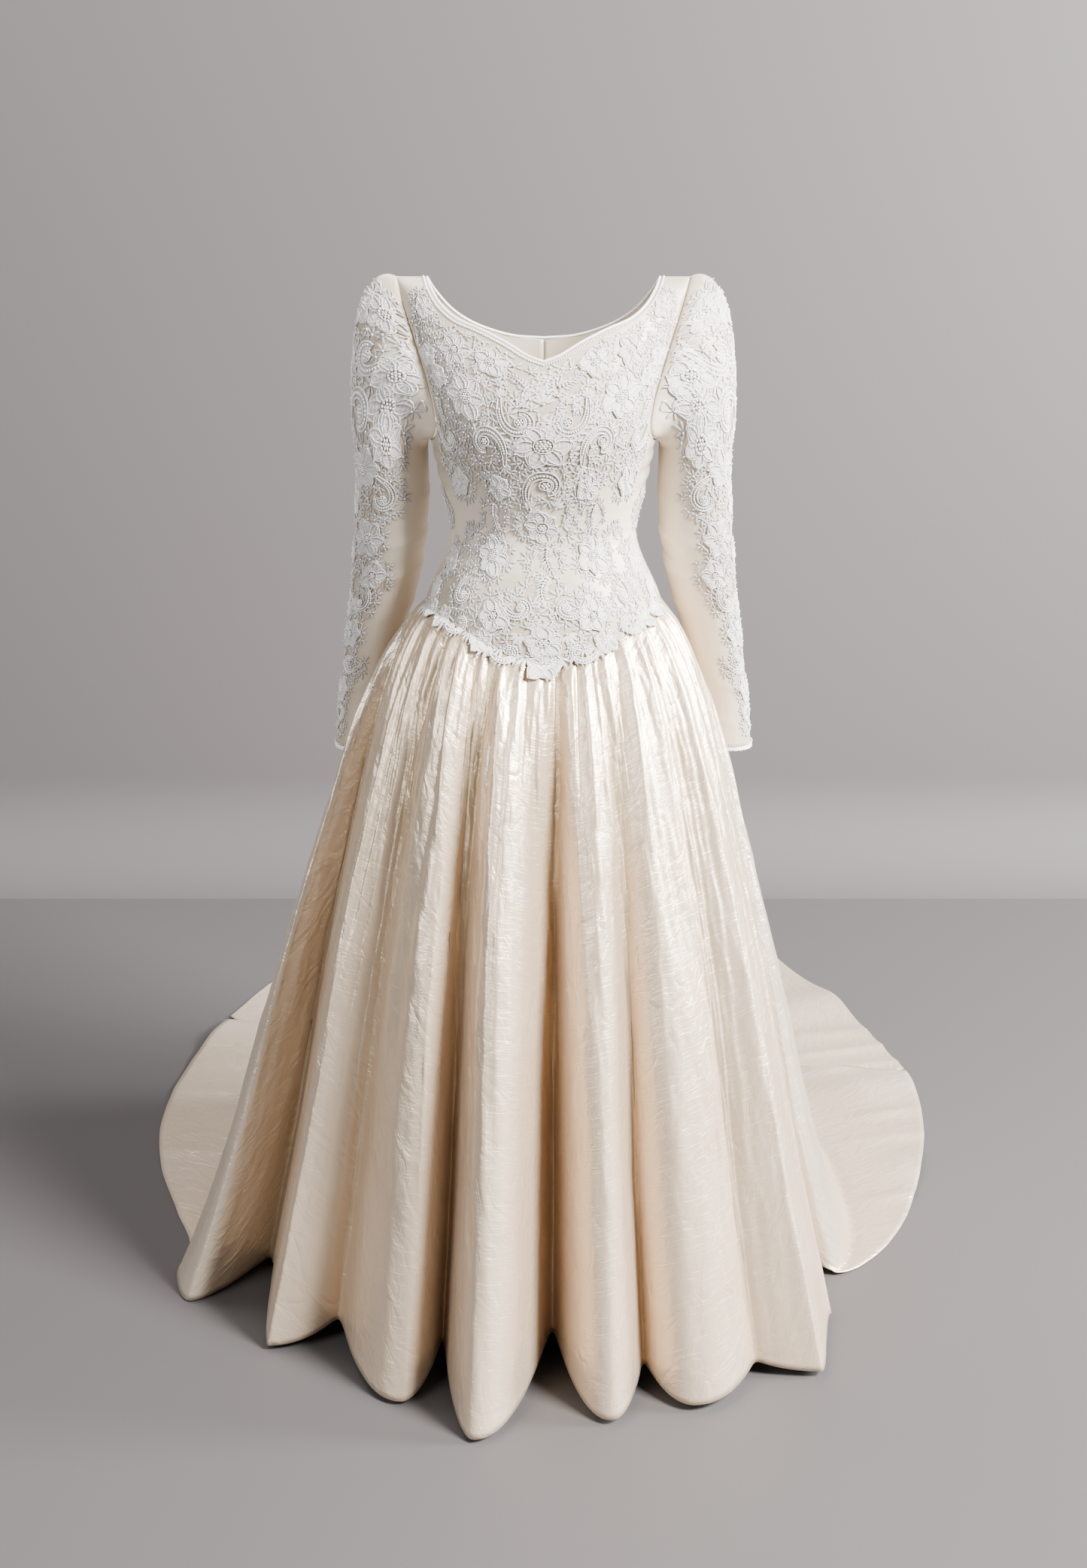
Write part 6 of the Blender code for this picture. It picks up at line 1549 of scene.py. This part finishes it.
@dataclass
class Skirt:
    """The skirt's front, both halves of the train and its pieced end."""

    form: SkirtForm
    finishes: Finishes
    wall: float = 0.0014
    floor_reach: float = 0.25
    floor_wall: float = 0.0020
    rows: int = 150
    # Reach in columns, least depth and middle level of the painted fold shade.
    shade_reach: int = 14
    shade_depth: float = 0.0045
    shade_middle: float = 0.26

    def piecing(self, turns: np.ndarray) -> np.ndarray:
        """Return the share of the way out at which each column meets the train's piecing seam."""
        left = next(row for row in LEFT_TRAIN if row.turn == LEFT_CORNER)
        right = next(row for row in RIGHT_TRAIN if row.turn == RIGHT_CORNER)
        slope = (right.hem_y - left.hem_y) / (right.hem_x + left.hem_x)
        shares = np.linspace(0.0, 1.0, 401)
        result = np.ones(len(turns))
        for index, turn in enumerate(turns):
            corner = RIGHT_CORNER if turn > 0 else LEFT_CORNER
            if abs(turn) <= corner + 1e-6:
                continue
            spot = self.form.point(np.full_like(shares, turn), shares)
            over = spot[:, 1] - left.hem_y - slope * (spot[:, 0] + left.hem_x)
            first = int(np.argmax(over > 0.0))
            result[index] = (first - over[first] / (over[first] - over[first - 1])) / 400.0
        return result

    def even(self, turns: np.ndarray, start: np.ndarray, end: np.ndarray, rows: int, crowd: float) -> np.ndarray:
        """Return shares for each column, spaced along its own length and closer at its top."""
        fine = start[:, None] + (end - start)[:, None] * np.linspace(0.0, 1.0, 90)
        points = self.form.point(np.repeat(turns[:, None], 90, axis=1), fine)
        steps = np.linalg.norm(np.diff(points, axis=1), axis=2)
        lengths = np.concatenate((np.zeros((len(turns), 1)), np.cumsum(steps, axis=1)), axis=1)
        wanted = np.linspace(0.0, 1.0, rows) ** crowd
        return np.stack([np.interp(wanted * lengths[i, -1], lengths[i], fine[i]) for i in range(len(turns))])

    def piece(self, name: str, turns: np.ndarray, start: np.ndarray, end: np.ndarray, rows: int,
              material: bpy.types.Material, crowd: float = 1.25) -> bpy.types.Object:
        """Build one cut piece from columns in rising turn.

        Args:
            name: The object's name.
            turns: The turn of each column.
            start: The share of the way out at which each column starts.
            end: The share at which each ends.
            rows: The number of rows.
            material: The piece's satin.
            crowd: How much closer the rows are at the top.

        Returns:
            The finished object.
        """
        shares = self.even(turns, start, end, rows, crowd)
        spread = np.repeat(turns[:, None], rows, axis=1)
        points = self.form.point(spread, shares)
        points[..., 2] += self.floor_wall * (1.0 - np.minimum(points[..., 2] / self.floor_reach, 1.0))
        points[..., 2] -= SHOULDER_HEIGHT
        item = new_object(name, points.reshape(-1, 3), grid_faces(len(turns), rows), [material])
        down = np.concatenate((np.zeros((len(turns), 1)), np.cumsum(np.linalg.norm(np.diff(points, axis=1), axis=2), axis=1)), axis=1)
        across = np.concatenate((np.zeros((1, rows)), np.cumsum(np.linalg.norm(np.diff(points, axis=0), axis=2), axis=0)), axis=0)
        set_uv(item, np.stack((across - across[len(turns) // 2], down), -1).reshape(-1, 2))
        # Painted shade: fold valleys darker, crests paler.
        set_value(item, "shade", self.shade(points))
        thicken(item, self.wall)
        return item

    def shade(self, points: np.ndarray) -> np.ndarray:
        """Return the painted shade of each place, from 0 to 1: how deep in a fold it lies, by how far it stands back
        from its neighbours, so valleys are painted darker and crests paler.
        """
        reach = self.shade_reach
        padded = np.pad(points, ((reach, reach), (0, 0), (0, 0)), mode="edge")
        total = np.cumsum(np.concatenate((np.zeros_like(padded[:1]), padded)), axis=0)
        middle = (total[2 * reach + 1:] - total[:-2 * reach - 1]) / (2 * reach + 1)
        inward = unit(np.cross(np.gradient(points, axis=0), np.gradient(points, axis=1)))
        depth = -np.sum((middle - points) * inward, axis=-1)
        usual = np.maximum(np.sqrt(np.mean(depth**2, axis=0, keepdims=True)), self.shade_depth)
        return np.clip(self.shade_middle + 0.42 * depth / usual, 0.0, 1.0)

    def build(self) -> None:
        """Build the four cut pieces of the skirt."""
        front_turns = np.linspace(-SKIRT_SIDE_TURN + 0.03, SKIRT_SIDE_TURN - 0.03, 300)
        front = self.piece("satin_skirt_front", front_turns, np.zeros(300), np.ones(300), self.rows, self.finishes.skirt)
        settle(front, "skirt_satin", "skirt_front")
        for name, hand, corner in (("right", 1.0, RIGHT_CORNER), ("left", -1.0, LEFT_CORNER)):
            near = np.linspace(SKIRT_SIDE_TURN + 0.03, corner, 130)
            far = np.linspace(corner, 179.97, 80)[1:]
            turns = np.sort(np.concatenate((near, far)) * hand)
            half = self.piece(f"satin_train_{name}", turns, np.zeros(len(turns)), self.piecing(turns), self.rows,
                              self.finishes.train)
            settle(half, "skirt_satin", f"train_{name}")
        right = np.linspace(RIGHT_CORNER + 0.6, 180.0, 70)
        left = np.linspace(180.0, 360.0 - LEFT_CORNER - 0.6, 62)[1:]
        turns = np.concatenate((right, left))
        signed = np.where(turns > 180.0, turns - 360.0, turns)
        self.train_end(signed)

    def train_end(self, turns: np.ndarray) -> None:
        """Build the pieced end of the train from columns of both hands."""
        start = np.minimum(self.piecing(turns) + 0.0006, 1.0)
        points, uv = [], []
        for turn, first in zip(turns, start):
            shares = np.linspace(first, 1.0, 90)
            column_points = self.form.point(np.full_like(shares, turn), shares)
            column_points[:, 2] = self.form.ripple(column_points[:, 0], column_points[:, 1]) + self.floor_wall - SHOULDER_HEIGHT
            points.append(column_points)
            uv.append(column_points[:, :2])
        item = new_object("satin_train_end", np.vstack(points), grid_faces(len(turns), 90), [self.finishes.train])
        set_uv(item, np.vstack(uv))
        # Painted shade: an even 0.2 mix toward the deep colour over the whole lying end, with no valley shade.
        set_value(item, "shade", np.full(len(item.data.vertices), 0.2))
        thicken(item, self.wall)
        settle(item, "skirt_satin", "train_end")


@dataclass
class Buttons:
    """The covered buttons down the centre back, each with its cord loop."""

    body: BodyForm
    finishes: Finishes
    count: int = 12
    radius: float = 0.0055
    height: float = 0.0052
    top: float = 1.312
    spacing: float = 0.0305

    def button(self, index: int) -> bpy.types.Object:
        """Model one covered button and set it on the back seam."""
        rise = self.body.rise_at(np.array([self.top - index * self.spacing]))
        turn = np.array([180.0])
        normal = Vector(self.body.normal(turn, rise)[0])
        seat = Vector(self.body.point(turn, rise)[0]) + normal * 0.0003
        bpy.ops.object.select_all(action="DESELECT")
        bpy.ops.mesh.primitive_uv_sphere_add(segments=20, ring_count=12, radius=self.radius)
        dome = bpy.context.object
        bpy.ops.object.mode_set(mode="EDIT")
        bpy.ops.mesh.select_all(action="SELECT")
        bpy.ops.transform.resize(value=(1.0, 1.0, self.height * 0.5 / self.radius))
        bpy.ops.transform.translate(value=(0.0, 0.0, self.height * 0.5))
        bpy.ops.object.mode_set(mode="OBJECT")
        bpy.ops.object.select_all(action="DESELECT")
        bpy.ops.mesh.primitive_torus_add(major_radius=self.radius * 1.02, minor_radius=0.00075, major_segments=24, minor_segments=6)
        loop = bpy.context.object
        bpy.ops.object.mode_set(mode="EDIT")
        bpy.ops.mesh.select_all(action="SELECT")
        bpy.ops.transform.translate(value=(0.0, 0.0, 0.0012))
        bpy.ops.object.mode_set(mode="OBJECT")
        bpy.ops.object.select_all(action="DESELECT")
        loop.select_set(True)
        dome.select_set(True)
        bpy.context.view_layer.objects.active = dome
        bpy.ops.object.join()
        dome.name = f"covered_button_{index + 1}"
        turned = normal.to_track_quat("Z", "Y").to_matrix().to_4x4()
        turned.translation = seat
        dome.data.transform(turned)
        dome.data.materials.clear()
        dome.data.materials.append(self.finishes.trim)
        dome.data.uv_layers[0].name = "cloth"
        dome.data.shade_smooth()
        return dome

    def build(self) -> None:
        """Build the row of buttons."""
        for index in range(self.count):
            settle(self.button(index), "button_satin", f"button_{index + 1}")


@dataclass
class Studio:
    """Camera, floor and light."""

    lens: float = 45.0
    camera_height: float = 1.52
    camera_away: float = 2.60
    tilt: float = 16.9
    floor_half: float = 9.0
    key_power: float = 1350.0
    fill_power: float = 150.0
    side_power: float = 900.0
    wall_away: float = 1.52
    wall_bend: float = 0.22

    def camera(self) -> None:
        """Place the camera at the photograph's viewing angle."""
        data = bpy.data.cameras.new("studio_camera")
        data.lens = self.lens
        data.sensor_width = 36.0
        item = bpy.data.objects.new("studio_camera", data)
        item.location = (0.0, -self.camera_away, self.camera_height - SHOULDER_HEIGHT)
        item.rotation_euler = (math.radians(90.0 - self.tilt), 0.0, 0.0)
        bpy.context.scene.collection.objects.link(item)
        bpy.context.scene.camera = item

    def floor(self) -> None:
        """Lay a plain pale floor."""
        bpy.ops.object.select_all(action="DESELECT")
        bpy.ops.mesh.primitive_plane_add(size=self.floor_half * 2.0, location=(0.0, 0.0, -SHOULDER_HEIGHT - 0.0004))
        plane = bpy.context.object
        plane.name = "studio_floor"
        material = bpy.data.materials.new("studio_floor")
        material.use_nodes = True
        shader = material.node_tree.nodes["Principled BSDF"]
        shader.inputs["Base Color"].default_value = (0.062, 0.056, 0.056, 1.0)
        shader.inputs["Roughness"].default_value = 0.75
        plane.data.materials.append(material)

    def wall(self) -> None:
        """Stand a plain wall behind the dress, bent softly into the floor and seen from its front only."""
        angle = np.linspace(0.0, 0.5 * math.pi, 13)
        y = np.append(self.wall_away + self.wall_bend * np.sin(angle), self.wall_away + self.wall_bend)
        z = np.append(self.wall_bend * (1.0 - np.cos(angle)), 5.0) - SHOULDER_HEIGHT
        sides = [np.column_stack((np.full(14, x), y, z)) for x in (-self.floor_half, self.floor_half)]
        material = bpy.data.materials.new("studio_wall")
        material.use_nodes = True
        nodes = Nodes(material.node_tree)
        shader = material.node_tree.nodes["Principled BSDF"]
        shader.inputs["Base Color"].default_value = (0.080, 0.072, 0.073, 1.0)
        shader.inputs["Roughness"].default_value = 0.8
        behind, clear = nodes.add("ShaderNodeNewGeometry"), nodes.add("ShaderNodeBsdfTransparent")
        both = nodes.add("ShaderNodeMixShader")
        links = material.node_tree.links
        links.new(behind.outputs["Backfacing"], both.inputs[0])
        links.new(shader.outputs[0], both.inputs[1])
        links.new(clear.outputs[0], both.inputs[2])
        links.new(both.outputs[0], material.node_tree.nodes["Material Output"].inputs["Surface"])
        item = new_object("studio_wall", np.vstack(sides), [face[::-1] for face in grid_faces(2, 14)], [material])

    def light(self, name: str, place: tuple[float, float, float], size: float, power: float,
              colour: tuple[float, float, float], aim: tuple[float, float, float] = (0.0, 0.0, -0.6)) -> None:
        """Hang one soft square light that looks at the dress or at another place."""
        data = bpy.data.lights.new(name, "AREA")
        data.shape = "SQUARE"
        data.size = size
        data.energy = power
        data.color = colour
        item = bpy.data.objects.new(name, data)
        item.location = place
        item.rotation_euler = (Vector(aim) - Vector(place)).to_track_quat("-Z", "Y").to_euler()
        bpy.context.scene.collection.objects.link(item)

    def build(self) -> None:
        """Set up the studio."""
        self.camera()
        self.floor()
        self.wall()
        self.light("key", (2.9, -2.0, 2.2), 1.3, self.key_power, (1.0, 0.985, 0.965))
        self.light("side", (4.4, 0.1, 0.7), 1.4, self.side_power, (1.0, 0.985, 1.0), (2.2, 1.74, 0.1))
        self.light("fill", (-3.0, -2.6, 1.2), 2.2, self.fill_power, (0.98, 0.985, 1.0))
        self.light("top", (-1.2, 1.1, 2.6), 1.6, self.fill_power * 0.8, (1.0, 0.98, 0.96))
        world = bpy.data.worlds.new("studio")
        world.use_nodes = True
        world.node_tree.nodes["Background"].inputs[0].default_value = (0.62, 0.585, 0.585, 1.0)
        world.node_tree.nodes["Background"].inputs[1].default_value = 0.17
        bpy.context.scene.world = world


def main() -> None:
    """Build the studio and the dress."""
    logging.basicConfig(level=logging.INFO, format="%(message)s")
    Studio().build()
    finishes = Finishes.make()
    body = BodyForm()
    skirt = SkirtForm(body)
    Skirt(skirt, finishes).build()
    Bodice(body, skirt, finishes).build()
    Sleeves(SleeveForm(body), finishes).build()
    NeckEdge(body, finishes).build()
    Buttons(body, finishes).build()


if __name__ == "__main__":
    main()
